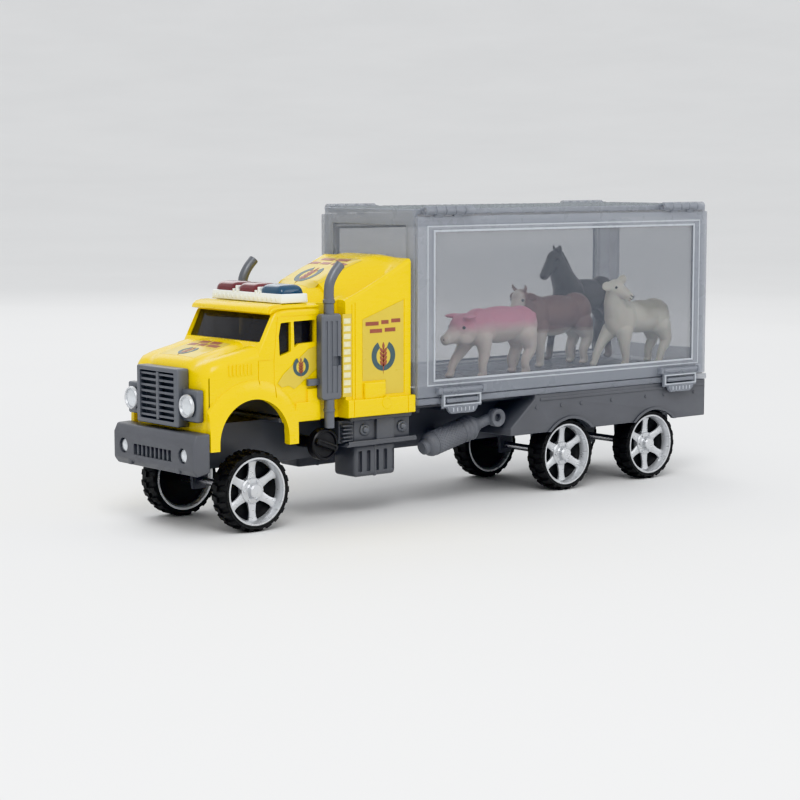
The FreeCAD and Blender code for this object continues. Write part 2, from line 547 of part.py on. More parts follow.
def underbody():
    for side_name, side in SIDES:
        inner = S["beam_half"]
        upper = side_box(side, "-62.5", "-33", inner, "27", "30.6", S["cab_sill"])
        rib_block = side_box(side, "-69", "-62.5", inner, "26", "30", "40")
        divider = side_box(side, "-51.6", "-42", inner, "28.4", "30.6", S["cab_sill"])
        shelf = side_box(side, "-66", "-30.5", inner, "28.6", "29", "30.6")
        tank = side_box(side, "-62", "-40", inner, "26.4", "16", "29")
        slots = [side_box(side, f"-60 + 4.4 * {i}", f"-58 + 4.4 * {i}", "25", "28", "18", "27") for i in range(4)]
        ribs = [side_box(side, "-68", "-63.5", "26", "26.8", f"31.4 + 2 * {i}", f"32.4 + 2 * {i}") for i in range(4)]
        keep(cut(fuse(upper, rib_block, divider, shelf, tank, *ribs), *slots), f"step_tank_{side_name}")
        bolts = [fuse(side_rod(side, x, "27", "35.6", "2.4", "0.8"), side_rod(side, x, "27.8", "35.6", "1.2", "0.7"))
                 for x in ("-57.2", "-37.4")]
        keep(fuse(*bolts), f"tank_bolts_{side_name}")
        silencer(side_name, side)


def silencer(side_name, side):
    """Slanted drum with two end collars, a ribbed skin and an outlet flange, hung on one bracket."""
    body = new_body("drum")
    r = S["muffler_radius"]
    profile = sketch(body, "profile", "YZ_Plane", [
        ("0", "0"), (f"{r} - 2.2", "0"), (f"{r} - 2.2", "3"), (f"{r} - 0.5", "4"), (f"{r} - 0.5", "25"), (r, "25.6"),
        (r, "30"), (f"{r} - 0.8", "30.6"), (f"{r} - 0.8", "32"), ("2.6", "33"), ("2.6", "43"), ("4", "44"), ("4", "47.2"),
        ("0", "47.2")])
    revolve(body, profile, "Z_Axis")
    rib = sketch(body, "groove", "XY_Plane", circles=[("0", r, "0.8")], offset="5")
    polar(body, pocket(body, rib, "19", back=True), "Z_Axis", 16)
    body.Placement.Rotation = FreeCAD.Rotation(V(0, 1, 0), 90 - number(S["muffler_tilt"]))
    body.setExpression("Placement.Rotation.Angle", "90 - Sizes.muffler_tilt")
    at(body, "-25.5", f"{side} * Sizes.muffler_y", "25")
    bracket = side_box(side, "-12", "-6", S["beam_half"], "22.5", "27", "31")
    keep(fuse(body, bracket), f"muffler_{side_name}")


# ---------------------------------------------------------------- trailer bed, case and doors

def bed():
    """Deck under the case with side skirts that are cut round the rear wheels."""
    low, deck, top = S["skirt_low"], S["bed_deck"], S["case_bottom"]
    front, rear = "Sizes.middle_axle_x - 36", "Sizes.case_rear - 0.4"
    body = slab("bed", [(front, low), (front, f"{low} + 3.5"), (f"{front} + 14", f"{deck} + 0.6"),
                        (f"{front} + 14", top), (rear, top), (rear, low)], S["bed_half"])
    hollow = sketch(body, "hollow", "XY_Plane", [
        (f"{front} + 2", "-Sizes.bed_half + Sizes.skirt_wall"), (f"{rear} - 1.9", "-Sizes.bed_half + Sizes.skirt_wall"),
        (f"{rear} - 1.9", "Sizes.bed_half - Sizes.skirt_wall"), (f"{front} + 2", "Sizes.bed_half - Sizes.skirt_wall")])
    pocket(body, hollow, deck, back=True)
    arches = sketch(body, "arches", "XZ_Plane",
                    circles=[(x, "Sizes.tyre_radius - 2", "18") for x in (S["middle_axle_x"], S["rear_axle_x"])])
    pocket(body, arches, "2 * Sizes.bed_half + 2", centred=True)
    tongue = box("Sizes.case_front + 0.5", f"{front} + 15", "-24", "24", deck, top)
    beam_slot = box(f"{front} - 1", f"{front} + 20", "-Sizes.beam_half", S["beam_half"], f"{low} - 1", deck)
    keep(cut(fuse(body, tongue), beam_slot), "trailer_bed")


KNUCKLES = tuple(range(-2, 3))
HINGES = (S["hinge_front_x"], S["hinge_rear_x"])


def knuckle_start(hinge, i):
    return f"{hinge} + {i} * (Sizes.knuckle_long + Sizes.hinge_gap) - Sizes.knuckle_long / 2"


def knuckles(side, even, leaf):
    """Barrels on the hinge axis, each with the leaf that joins it to its panel."""
    items = []
    for hinge in HINGES:
        for i in KNUCKLES:
            if (i % 2 == 0) != even:
                continue
            start = knuckle_start(hinge, i)
            items.append(rod("X", (start, f"{side} * Sizes.hinge_y", S["hinge_z"]), S["knuckle_radius"], S["knuckle_long"]))
            items.append(side_box(side, start, f"({start}) + Sizes.knuckle_long", *leaf))
    return items


def hinge_bores(side, radius):
    reach = "2.5 * Sizes.knuckle_long + 2 * Sizes.hinge_gap"
    return [rod("X", (f"{hinge} - ({reach}) - 1", f"{side} * Sizes.hinge_y", S["hinge_z"]), radius, f"2 * ({reach}) + 2")
            for hinge in HINGES]


def case():
    """Box with open sides: floor, roof, two ends, sills with the latch lugs and the fixed hinge knuckles."""
    front, rear, low, top = S["case_front"], S["case_rear"], S["case_bottom"], S["case_top"]
    wall = S["case_wall"]
    body = slab("case", [(front, low), (front, top), (rear, top), (rear, low)], S["case_near"])
    inside = sketch(body, "inside", "XZ_Plane", [
        (f"{front} + {wall}", S["floor_top"]), (f"{front} + {wall}", f"{top} - {wall}"),
        (f"{rear} - {wall}", f"{top} - {wall}"), (f"{rear} - {wall}", S["floor_top"])])
    pocket(body, inside, "4 * Sizes.case_near", centred=True)
    under = sketch(body, "under", "XY_Plane", [
        (f"{front} + {wall}", f"-Sizes.case_near + {wall}"), (f"{rear} - {wall}", f"-Sizes.case_near + {wall}"),
        (f"{rear} - {wall}", f"Sizes.case_near - {wall}"), (f"{front} + {wall}", f"Sizes.case_near - {wall}")])
    pocket(body, under, f"{S['floor_top']} - {wall}", back=True)
    rib = sketch(body, "roof_rib", "XZ_Plane", [
        (f"{front} + 3", f"{top} - 0.2"), (f"{front} + 3", f"{top} + Sizes.rib_height"),
        (f"{front} + 4.2", f"{top} + Sizes.rib_height"), (f"{front} + 4.2", f"{top} - 0.2")])
    doc.recompute()
    ridge = pad(body, rib, "2 * Sizes.case_near - 2", centred=True)
    row_of_ribs = body.newObject("PartDesign::LinearPattern", "roof_ribs")
    row_of_ribs.Originals = [ridge]
    row_of_ribs.Direction = (plane(body, "X_Axis"), [""])
    row_of_ribs.Occurrences = 39
    bind(row_of_ribs, Length="38 * Sizes.rib_pitch")
    body.Tip = row_of_ribs
    extras, bores = [], []
    for _, side in SIDES:
        extras.append(side_box(side, front, rear, "Sizes.case_near - 0.5", S["case_far"], low, "Sizes.door_low - 0.4"))
        extras += [side_box(side, f"{x} - 8.7", f"{x} + 8.7", "Sizes.case_far - 0.5", S["lug_face"], "44.3", "46.2")
                   for x in (S["latch_front_x"], S["latch_rear_x"])]
        extras += knuckles(side, True, ("Sizes.case_near - 0.6", S["hinge_y"], f"{top} - {wall}", "Sizes.hinge_z + 1.2"))
        bores += hinge_bores(side, S["pin_radius"])
    keep(cut(fuse(body, *extras), *bores), "case_body")


def case_door(side_name, side):
    """Lift-up door with a raised frame round its panel, moving knuckles and ears for two latches."""
    front, rear = S["case_front"], "Sizes.case_rear - 1"
    plate = side_box(side, front, rear, S["door_back"], S["door_face"], S["door_low"], S["door_high"])
    panel = side_box(side, f"{front} + Sizes.door_stile", f"({rear}) - Sizes.door_stile", "Sizes.door_back + 1.1",
                     "Sizes.door_face + 1", "Sizes.door_low + Sizes.door_rail", "Sizes.door_high - Sizes.door_rail")
    ears, holes = [], []
    for x in (S["latch_front_x"], S["latch_rear_x"]):
        half = "Sizes.latch_width / 2"
        for a, b in ((f"{x} + {half} + 0.3", f"{x} + {half} + 2.1"), (f"{x} - {half} - 2.1", f"{x} - {half} - 0.3")):
            ears.append(side_box(side, a, b, "Sizes.door_face - 0.3", "Sizes.latch_y + 1.2", "Sizes.latch_z - 1.4",
                                 "Sizes.latch_z + 1.4"))
        holes.append(rod("X", (f"{x} - 20", f"{side} * Sizes.latch_y", S["latch_z"]),
                         "Sizes.latch_pin + Sizes.running_gap", "40"))
    leaf = ("Sizes.door_face - 1.6", S["hinge_y"], "Sizes.door_high - 0.5", S["hinge_z"])
    solid = fuse(cut(plate, panel), *ears, *knuckles(side, False, leaf))
    keep(cut(solid, *holes, *hinge_bores(side, "Sizes.pin_radius + Sizes.running_gap")), f"case_door_{side_name}")


def hinge_pins(side_name, side):
    reach = "2.5 * Sizes.knuckle_long + 2 * Sizes.hinge_gap"
    keep(fuse(*[rod("X", (f"{hinge} - ({reach})", f"{side} * Sizes.hinge_y", S["hinge_z"]), S["pin_radius"],
                    f"2 * ({reach})") for hinge in HINGES]), f"hinge_pins_{side_name}")


def latch(label, x, side):
    """Snap latch: barrel with trunnions, plate with a window that fits over the sill's lug, thumb tongue."""
    half = "Sizes.latch_width / 2"
    barrel = rod("X", (f"{x} - {half}", f"{side} * Sizes.latch_y", S["latch_z"]), S["latch_barrel"], S["latch_width"])
    trunnions = rod("X", (f"{x} - {half} - 1.9", f"{side} * Sizes.latch_y", S["latch_z"]), S["latch_pin"],
                    "Sizes.latch_width + 3.8")
    plate = side_box(side, f"{x} - {half}", f"{x} + {half}", "Sizes.latch_y - 0.9", "Sizes.latch_y + 0.3", "41.4",
                     S["latch_z"])
    window = side_box(side, f"{x} - 9.3", f"{x} + 9.3", "32", "36", "43.9", "46.8")
    tongue = side_box(side, f"{x} - 8.2", f"{x} + 8.2", "Sizes.latch_y - 0.9", "Sizes.latch_y + 1", "39.6", "42.4")
    keep(fuse(cut(plate, window), tongue, barrel, trunnions), label)


def case_group():
    case()
    for side_name, side in SIDES:
        case_door(side_name, side)
        hinge_pins(side_name, side)
        latch(f"latch_front_{side_name}", S["latch_front_x"], side)
        latch(f"latch_rear_{side_name}", S["latch_rear_x"], side)


# ---------------------------------------------------------------- stickers and animals

def stickers():
    """Printed labels on the sleeper, the door and the pillar behind the stack."""
    thick = S["sticker_thick"]
    for side_name, side in SIDES:
        skin = ("Sizes.sleeper_half", f"Sizes.sleeper_half + {thick}")
        panel = side_slab(side, "panel_label", [("-60", "56.5"), ("-60", "81"), ("-38.6", "88"), ("-38.6", "49.4"),
                                                ("-48", "49.4"), ("-48", "56.5")], *skin)
        strip = side_slab(side, "strip_label", [("-68.4", "50"), ("-68.4", "83"), ("-65.6", "83"), ("-65.6", "50")], *skin)
        door = side_slab(side, "door_label", [("-101", "57.4"), ("-81", "71.8"), ("-81", "62.6"), ("-93", "54.2"),
                                              ("-95.6", "56"), ("-99", "55.4")],
                         "Sizes.cab_half", f"Sizes.cab_half + {thick}")
        keep(panel, f"label_sleeper_{side_name}")
        keep(strip, f"label_strip_{side_name}")
        keep(door, f"label_door_{side_name}")


def animal(label, x, y, long, girth, leg, head):
    """Standing animal: spindle-shaped trunk, four legs, a neck and a head with a muzzle."""
    trunk = new_body("trunk")
    middle_z = f"Sizes.floor_top + {leg} + {girth} - 1"
    half = f"({long}) / 2"
    profile = sketch(trunk, "profile", "XZ_Plane", [
        (f"-{half}", "0"), (f"-{half}", f"{girth} * 0.55"), (f"-{half} * 0.72", girth), (f"{half} * 0.7", girth),
        (half, f"{girth} * 0.6"), (half, "0")])
    revolve(trunk, profile, "X_Axis")
    at(trunk, x, y, middle_z)
    legs = [box(f"{x} + {sx} * {half} * 0.62 - 2.2", f"{x} + {sx} * {half} * 0.62 + 2.2", f"{y} + {sy} * 5 - 2",
                f"{y} + {sy} * 5 + 2", S["floor_top"], middle_z) for sx in (-1, 1) for sy in (-1, 1)]
    ahead, up, size = head
    skull = box(f"{x} - {half} - {ahead}", f"{x} - {half} - {ahead} + {size} * 1.5", f"{y} - {size} * 0.5",
                f"{y} + {size} * 0.5", f"{middle_z} + {up}", f"{middle_z} + {up} + {size}")
    neck = box(f"{x} - {half} - {ahead} + {size} * 0.8", f"{x} - {half} * 0.6", f"{y} - {size} * 0.4",
               f"{y} + {size} * 0.4", middle_z, f"{middle_z} + {up} + {size} * 0.9")
    keep(fuse(trunk, *legs, skull, neck), label)


def animals():
    """Trunk length, girth, leg length, then how far the head reaches ahead and up and its size."""
    animal("pig", "26", "-15", "50", "10", "12", ("7", "-4", "11"))
    animal("sheep", "113", "-17", "38", "8", "14", ("4", "9", "10"))
    animal("cow", "78", "3", "42", "8.4", "17", ("8", "6", "10"))
    animal("horse", "113", "19.5", "38", "7.6", "24", ("8", "16", "9"))


chassis()
wheels()
cab_shell()
cab_inside()
front_end()
light_bar()
stacks()
underbody()
bed()
case_group()
stickers()
animals()
doc.recompute()

os.makedirs("parts", exist_ok=True)
for item in doc.Objects:
    if "Invalid" in item.State or "Error" in item.State:
        raise RuntimeError(f"{item.Label} ({item.Name}) did not build: {item.State}")
for item in parts:
    if item.Shape.isNull() or not item.Shape.isValid():
        raise RuntimeError(f"{item.Label} has no valid shape")
    item.Shape.exportStep(f"parts/{item.Label}.step")
    box_of = item.Shape.BoundBox
    print(f"{item.Label:22s} X {box_of.XMin:8.2f} {box_of.XMax:8.2f}  Y {box_of.YMin:7.2f} {box_of.YMax:7.2f}  "
          f"Z {box_of.ZMin:7.2f} {box_of.ZMax:7.2f}  solids {len(item.Shape.Solids)}  {item.Shape.Volume / 1000:.2f} cm3")
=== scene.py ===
"""Looks of the toy livestock transporter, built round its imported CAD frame.

Shapes are built in millimetres in the frame's own axes and handed over in metres by place().
"""

import json
import math

import bmesh
import bpy
from mathutils.bvhtree import BVHTree
from mathutils import Matrix, Vector


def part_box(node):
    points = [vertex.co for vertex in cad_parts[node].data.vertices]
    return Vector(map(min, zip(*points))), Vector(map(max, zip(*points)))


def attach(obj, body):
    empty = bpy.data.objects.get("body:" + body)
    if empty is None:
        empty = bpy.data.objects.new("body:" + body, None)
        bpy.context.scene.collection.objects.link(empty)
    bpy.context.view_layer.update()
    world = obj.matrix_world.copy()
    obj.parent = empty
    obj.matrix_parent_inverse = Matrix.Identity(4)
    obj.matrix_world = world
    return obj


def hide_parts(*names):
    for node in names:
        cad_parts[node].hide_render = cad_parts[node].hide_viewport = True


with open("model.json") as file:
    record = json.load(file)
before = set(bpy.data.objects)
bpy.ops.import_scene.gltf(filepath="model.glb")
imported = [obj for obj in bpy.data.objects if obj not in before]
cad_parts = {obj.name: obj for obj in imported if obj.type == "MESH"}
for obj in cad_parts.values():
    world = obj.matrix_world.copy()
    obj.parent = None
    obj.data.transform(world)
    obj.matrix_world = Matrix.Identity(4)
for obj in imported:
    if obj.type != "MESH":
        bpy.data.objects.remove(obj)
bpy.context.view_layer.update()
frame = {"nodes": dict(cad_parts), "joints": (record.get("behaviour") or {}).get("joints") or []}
MM = 0.001
LEFT, RIGHT = -1, 1
SIDES = (("left", LEFT), ("right", RIGHT))


# ---------------------------------------------------------------- shape helpers, all in millimetres

def corners(node):
    low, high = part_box(node)
    return low / MM, high / MM


def new_mesh(name, verts, faces):
    mesh = bpy.data.meshes.new(name)
    mesh.from_pydata([tuple(v) for v in verts], [], faces)
    piece = bpy.data.objects.new(name, mesh)
    bpy.context.scene.collection.objects.link(piece)
    tidy = bmesh.new()
    tidy.from_mesh(mesh)
    bmesh.ops.recalc_face_normals(tidy, faces=tidy.faces)
    tidy.to_mesh(mesh)
    tidy.free()
    return piece


def settle(piece):
    """Applies the modifiers of a piece to its mesh."""
    bpy.context.view_layer.update()
    graph = bpy.context.evaluated_depsgraph_get()
    mesh = bpy.data.meshes.new_from_object(piece.evaluated_get(graph))
    piece.modifiers.clear()
    piece.data = mesh
    return piece


def bevel(piece, width, segments=3, angle=30):
    mod = piece.modifiers.new("bevel", "BEVEL")
    mod.width = width
    mod.segments = segments
    mod.limit_method = "ANGLE"
    mod.angle_limit = math.radians(angle)
    mod.harden_normals = False
    return settle(piece)


def boolean(piece, tools, operation):
    for tool in tools:
        mod = piece.modifiers.new("boolean", "BOOLEAN")
        mod.operation = operation
        mod.solver = "EXACT"
        mod.object = tool
        settle(piece)
    for tool in tools:
        bpy.data.objects.remove(tool)
    return piece


def weld(name, pieces):
    """Joins meshes into one object without changing them."""
    merged = bmesh.new()
    for piece in pieces:
        piece.data.transform(piece.matrix_world)
        merged.from_mesh(piece.data)
        bpy.data.objects.remove(piece)
    mesh = bpy.data.meshes.new(name)
    merged.to_mesh(mesh)
    merged.free()
    joined = bpy.data.objects.new(name, mesh)
    bpy.context.scene.collection.objects.link(joined)
    return joined


def block(low, high, round_by=0.3, segments=3):
    (x0, y0, z0), (x1, y1, z1) = low, high
    verts = [(x, y, z) for x in (x0, x1) for y in (y0, y1) for z in (z0, z1)]
    faces = [(0, 1, 3, 2), (4, 6, 7, 5), (0, 4, 5, 1), (2, 3, 7, 6), (0, 2, 6, 4), (1, 5, 7, 3)]
    piece = new_mesh("block", verts, faces)
    return bevel(piece, round_by, segments) if round_by else piece


def side_block(side, x0, x1, inner, outer, z0, z1, round_by=0.3):
    y0, y1 = sorted((side * inner, side * outer))
    return block((x0, y0, z0), (x1, y1, z1), round_by)


def prism(outline, y0, y1, round_by=0.0, segments=3):
    """Side outline of (x, z) points carried across from y0 to y1."""
    n = len(outline)
    verts = [(x, y0, z) for x, z in outline] + [(x, y1, z) for x, z in outline]
    faces = [tuple(range(n)), tuple(range(2 * n - 1, n - 1, -1))]
    faces += [(i, (i + 1) % n, n + (i + 1) % n, n + i) for i in range(n)]
    piece = new_mesh("prism", verts, faces)
    return bevel(piece, round_by, segments) if round_by else piece


def side_prism(side, outline, inner, outer, round_by=0.0):
    y0, y1 = sorted((side * inner, side * outer))
    return prism(outline, y0, y1, round_by)


AXIS_TURN = {"Z": Matrix.Identity(3), "X": Matrix(((0, 0, 1), (0, 1, 0), (-1, 0, 0))),
             "Y": Matrix(((1, 0, 0), (0, 0, 1), (0, -1, 0)))}


def lathe(profile, centre, axis="Z", steps=64, turn=None):
    """Turns (radius, along) points about an axis through centre. Ends at radius 0 are closed."""
    turn = turn or AXIS_TURN[axis]
    verts, faces, rings = [], [], []
    for radius, along in profile:
        if radius < 1e-6:
            verts.append(turn @ Vector((0, 0, along)) + Vector(centre))
            rings.append([len(verts) - 1])
            continue
        start = len(verts)
        for k in range(steps):
            a = math.tau * k / steps
            verts.append(turn @ Vector((radius * math.cos(a), radius * math.sin(a),
                                        along)) + Vector(centre))
        rings.append(list(range(start, start + steps)))
    for a, b in zip(rings, rings[1:]):
        for k in range(max(len(a), len(b))):
            quad = [a[k % len(a)], a[(k + 1) % len(a)], b[(k + 1) % len(b)], b[k % len(b)]]
            faces.append(tuple(dict.fromkeys(quad)))
    if len(rings[0]) > 1 and rings[0] != rings[-1] and profile[0] != profile[-1]:
        faces += [tuple(rings[0])] if profile[0][0] > 1e-6 else []
        faces += [tuple(rings[-1])] if profile[-1][0] > 1e-6 else []
    return new_mesh("lathe", verts, faces)


def ring(profile, centre, axis="Z", steps=96):
    """Closed profile turned about an axis: the solid has a hole in its middle."""
    turn = AXIS_TURN[axis]
    n = len(profile)
    verts, faces = [], []
    for k in range(steps):
        a = math.tau * k / steps
        verts += [turn @ Vector((r * math.cos(a), r * math.sin(a), h)) + Vector(centre) for r, h in profile]
    for k in range(steps):
        for i in range(n):
            j = (i + 1) % n
            m = (k + 1) % steps
            faces.append((k * n + i, k * n + j, m * n + j, m * n + i))
    return new_mesh("ring", verts, faces)


def loft(sections):
    """Skin through closed loops of equal length, with both ends capped."""
    n = len(sections[0])
    verts = [p for loop in sections for p in loop]
    faces = [tuple(range(n)), tuple(range(len(verts) - 1, len(verts) - n - 1, -1))]
    for k in range(len(sections) - 1):
        faces += [(k * n + i, k * n + (i + 1) % n, (k + 1) * n + (i + 1) % n, (k + 1) * n + i)
                  for i in range(n)]
    return new_mesh("loft", verts, faces)


def tube(points, radius, sides=24):
    """Round bar along points, with the frame carried smoothly from one point to the next."""
    points = [Vector(p) for p in points]
    radii = radius if isinstance(radius, (list, tuple)) else [radius] * len(points)
    tangents = [(points[min(i + 1, len(points) - 1)] - points[max(i - 1, 0)]).normalized()
                for i in range(len(points))]
    up = tangents[0].orthogonal().normalized()
    loops = []
    for p, t, r in zip(points, tangents, radii):
        up = (up - t * up.dot(t)).normalized()
        across = t.cross(up)
        loops.append([p + r * (math.cos(a) * up + math.sin(a) * across)
                      for a in (math.tau * k / sides for k in range(sides))])
    return loft(loops)


def curve_points(controls, count):
    """Evenly numbered points on a Catmull-Rom line through the controls."""
    c = [Vector(p) for p in controls]
    c = [2 * c[0] - c[1]] + c + [2 * c[-1] - c[-2]]
    spans = len(c) - 3
    result = []
    for k in range(count):
        u = k * spans / (count - 1)
        i = min(int(u), spans - 1)
        f = u - i
        a, b, d, e = c[i:i + 4]
        result.append(0.5 * (2 * b + (d - a) * f + (2 * a - 5 * b + 4 * d - e) * f * f
                             + (3 * b - a - 3 * d + e) * f ** 3))
    return result


def shade(piece, angle=35):
    for polygon in piece.data.polygons:
        polygon.use_smooth = True
    if angle < 180:
        piece.data.set_sharp_from_angle(angle=math.radians(angle))
    return piece


def place(piece, name, body, material, nodes=(), angle=35):
    """Hands a finished piece over: metres, name, shading, material, the body it rides on."""
    piece.name = name
    piece.data.name = name
    piece.data.transform(Matrix.Scale(MM, 4))
    piece.data.materials.clear()
    piece.data.materials.append(material)
    for polygon in piece.data.polygons:
        polygon.material_index = 0
    shade(piece, angle)
    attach(piece, body)
    if nodes:
        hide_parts(*nodes)
    return piece


def surface_of(piece):
    """Ray-cast tree over a placed piece, in millimetres."""
    mesh = piece.data
    return BVHTree.FromPolygons([v.co / MM for v in mesh.vertices], [p.vertices for p in mesh.polygons])


# ---------------------------------------------------------------- materials

def srgb(r, g, b):
    return tuple(((c / 255 + 0.055) / 1.055) ** 2.4 if c > 10 else c / 255 / 12.92
                 for c in (r, g, b)) + (1.0,)


class Nodes:
    """Small helper that builds a node tree for one Principled material."""

    def __init__(self, name, roughness=0.4, **sockets):
        self.material = bpy.data.materials.new(name)
        self.material.use_nodes = True
        self.tree = self.material.node_tree
        self.shader = self.tree.nodes["Principled BSDF"]
        self.shader.inputs["Roughness"].default_value = roughness
        for key, value in sockets.items():
            self.shader.inputs[key.replace("_", " ")].default_value = value
        self.place = self.tree.nodes.new("ShaderNodeTexCoord").outputs["Object"]

    def link(self, a, b):
        self.tree.links.new(a, b)

    def noise(self, scale, detail=4.0, rough=0.55, vector=None):
        node = self.tree.nodes.new("ShaderNodeTexNoise")
        node.inputs["Scale"].default_value = scale
        node.inputs["Detail"].default_value = detail
        node.inputs["Roughness"].default_value = rough
        self.link(vector or self.place, node.inputs["Vector"])
        return node.outputs["Fac"]

    def voronoi(self, scale, feature="F1", vector=None):
        node = self.tree.nodes.new("ShaderNodeTexVoronoi")
        node.feature = feature
        node.inputs["Scale"].default_value = scale
        self.link(vector or self.place, node.inputs["Vector"])
        return node.outputs["Distance"]

    def stretched(self, x, y, z):
        node = self.tree.nodes.new("ShaderNodeMapping")
        node.inputs["Scale"].default_value = (x, y, z)
        self.link(self.place, node.inputs["Vector"])
        return node.outputs["Vector"]

    def ramp(self, value, stops):
        node = self.tree.nodes.new("ShaderNodeValToRGB")
        band = node.color_ramp
        while len(band.elements) < len(stops):
            band.elements.new(0.5)
        for element, (position, color) in zip(band.elements, stops):
            element.position = position
            element.color = color if len(color) == 4 else (*color, 1.0)
        self.link(value, node.inputs["Fac"])
        return node.outputs["Color"]

    def rescale(self, value, low, high, from_low=0.0, from_high=1.0):
        node = self.tree.nodes.new("ShaderNodeMapRange")
        for key, number in (("From Min", from_low), ("From Max", from_high), ("To Min", low),
                            ("To Max", high)):
            node.inputs[key].default_value = number
        self.link(value, node.inputs["Value"])
        return node.outputs["Result"]

    def mix(self, factor, a, b):
        node = self.tree.nodes.new("ShaderNodeMix")
        node.data_type = "RGBA"
        self.link(factor, node.inputs["Factor"])
        for socket, value in ((node.inputs[6], a), (node.inputs[7], b)):
            if isinstance(value, tuple):
                socket.default_value = value
            else:
                self.link(value, socket)
        return node.outputs[2]

    def math(self, operation, a, b=0.0):
        node = self.tree.nodes.new("ShaderNodeMath")
        node.operation = operation
        for socket, value in zip(node.inputs, (a, b)):
            if isinstance(value, (int, float)):
                socket.default_value = value
            else:
                self.link(value, socket)
        return node.outputs["Value"]

    def split(self):
        node = self.tree.nodes.new("ShaderNodeSeparateXYZ")
        self.link(self.place, node.inputs["Vector"])
        return node.outputs

    def color(self, value):
        self.link(value, self.shader.inputs["Base Color"])
        return self

    def rough(self, value):
        self.link(value, self.shader.inputs["Roughness"])
        return self

    def bump(self, height, distance, strength=1.0):
        node = self.tree.nodes.new("ShaderNodeBump")
        node.inputs["Distance"].default_value = distance
        node.inputs["Strength"].default_value = strength
        if self.shader.inputs["Normal"].is_linked:
            self.link(self.shader.inputs["Normal"].links[0].from_socket, node.inputs["Normal"])
        self.link(height, node.inputs["Height"])
        self.link(node.outputs["Normal"], self.shader.inputs["Normal"])
        return self


def shift(color, factor):
    return tuple(min(c * factor, 1.0) for c in color[:3]) + (1.0,)


def plastic(name, color, roughness, grain=0.00003, flow=0.08, **sockets):
    """Moulded plastic: flow marks in the colour, fine mould grain, faint scuffs in the gloss."""
    m = Nodes(name, roughness, **sockets)
    slow = m.noise(22.0, 3.0)
    m.color(m.ramp(slow, [(0.3, shift(color, 1 - flow)), (0.7, shift(color, 1 + flow))]))
    scuffs = m.noise(160.0, 6.0, 0.7, m.stretched(1.0, 1.0, 3.0))
    m.rough(m.rescale(scuffs, roughness * 0.8, min(roughness * 1.35, 1.0), 0.35, 0.75))
    m.bump(m.noise(2600.0, 2.0), grain, 0.6)
    m.bump(m.noise(70.0, 2.0), grain * 3, 0.25)
    return m.material


YELLOW = srgb(240, 208, 8)
yellow = plastic("yellow_plastic", YELLOW, 0.28, grain=0.00001, flow=0.05, Coat_Weight=0.25,
                 Coat_Roughness=0.12)
chassis_grey = plastic("chassis_plastic", srgb(92, 94, 99), 0.42, flow=0.12)
gunmetal = plastic("gunmetal_plastic", srgb(108, 111, 117), 0.36, flow=0.1, Metallic=0.25)
black = plastic("black_plastic", srgb(34, 34, 36), 0.4, flow=0.15)
white = plastic("white_plastic", srgb(232, 235, 232), 0.3, flow=0.03, Coat_Weight=0.2)
blue_lens = plastic("blue_lens", srgb(30, 70, 98), 0.16, grain=0.000008, flow=0.12, Coat_Weight=0.6,
                    Subsurface_Weight=0.15, Subsurface_Scale=0.002)
red_lens = plastic("red_lens", srgb(104, 32, 38), 0.16, grain=0.000008, flow=0.12, Coat_Weight=0.6,
                   Subsurface_Weight=0.15, Subsurface_Scale=0.002)
lamp_lens = plastic("lamp_lens", srgb(216, 220, 224), 0.12, grain=0.000008, flow=0.05, Coat_Weight=0.8,
                    Metallic=0.5)
rubber = plastic("tyre_rubber", srgb(30, 30, 31), 0.62, grain=0.00005, flow=0.2)
silver = plastic("silver_rim", srgb(206, 208, 211), 0.3, grain=0.00001, flow=0.04, Metallic=0.6)
steel = plastic("steel_pin", srgb(186, 186, 190), 0.28, grain=0.00001, flow=0.05, Metallic=1.0)


def clear_plastic(name, color, alpha, roughness, haze, grain=0.000006):
    """Smoke-tinted clear plastic: see-through panel or frosted frame, with moulding haze and fine scuffs."""
    m = Nodes(name, roughness, Alpha=alpha, IOR=1.49, Specular_IOR_Level=0.6)
    cloud = m.noise(14.0, 4.0)
    m.color(m.ramp(cloud, [(0.3, shift(color, 1 - haze)), (0.72, shift(color, 1 + haze))]))
    scuffs = m.noise(90.0, 5.0, 0.6)
    m.rough(m.rescale(scuffs, roughness * 0.8, roughness * 1.35, 0.35, 0.7))
    m.bump(m.noise(34.0, 2.0), 0.00003, 0.4)
    m.bump(m.noise(1900.0, 2.0), grain, 0.5)
    return m.material


clear_panel = clear_plastic("clear_panel", srgb(132, 138, 148), 0.26, 0.09, 0.08)
frosted = clear_plastic("frosted_frame", srgb(158, 163, 172), 0.52, 0.3, 0.06, 0.00001)
ribbed_roof = clear_plastic("ribbed_roof", srgb(172, 178, 182), 0.5, 0.2, 0.06)
# Paler, more opaque copy of the frosted plastic for raised beads and latch rims: a painted highlight on their
# edges.
painted_highlight_frost = clear_plastic("painted_highlight_frost", srgb(196, 201, 208), 0.8, 0.3, 0.04, 0.00001)
smoked = clear_plastic("smoked_glazing", srgb(40, 40, 44), 0.72, 0.1, 0.1)


# ---------------------------------------------------------------- cab

cab_low, cab_high = corners("cab_shell")
NOSE = cab_low.x
SILL = 41.5
ROOF = corners("light_bar_base")[0].z
REAR = cab_high.x - 1.5
CAB_HALF = 27.0
SLEEPER_HALF = corners("label_sleeper_right")[0].y
DOOR_REAR = -80.5
SLEEPER_FRONT = -69.0
RECESS_HALF = corners("exhaust_stack_right")[0].y
ARCH_X, ARCH_Z, ARCH_R = -113.0, 35.5, 16.6


def across(half, corner, count=22):
    """Places across a section, close together where its top corners are rounded."""
    arc = [corner * (1 - math.cos(math.radians(a))) for a in (0, 15, 30, 45, 60, 75)]
    inner = [half - corner - 2 * (half - corner) * k / count for k in range(count + 1)]
    return [-(half - e) for e in arc] + [-y for y in inner] + [half - e for e in reversed(arc)]


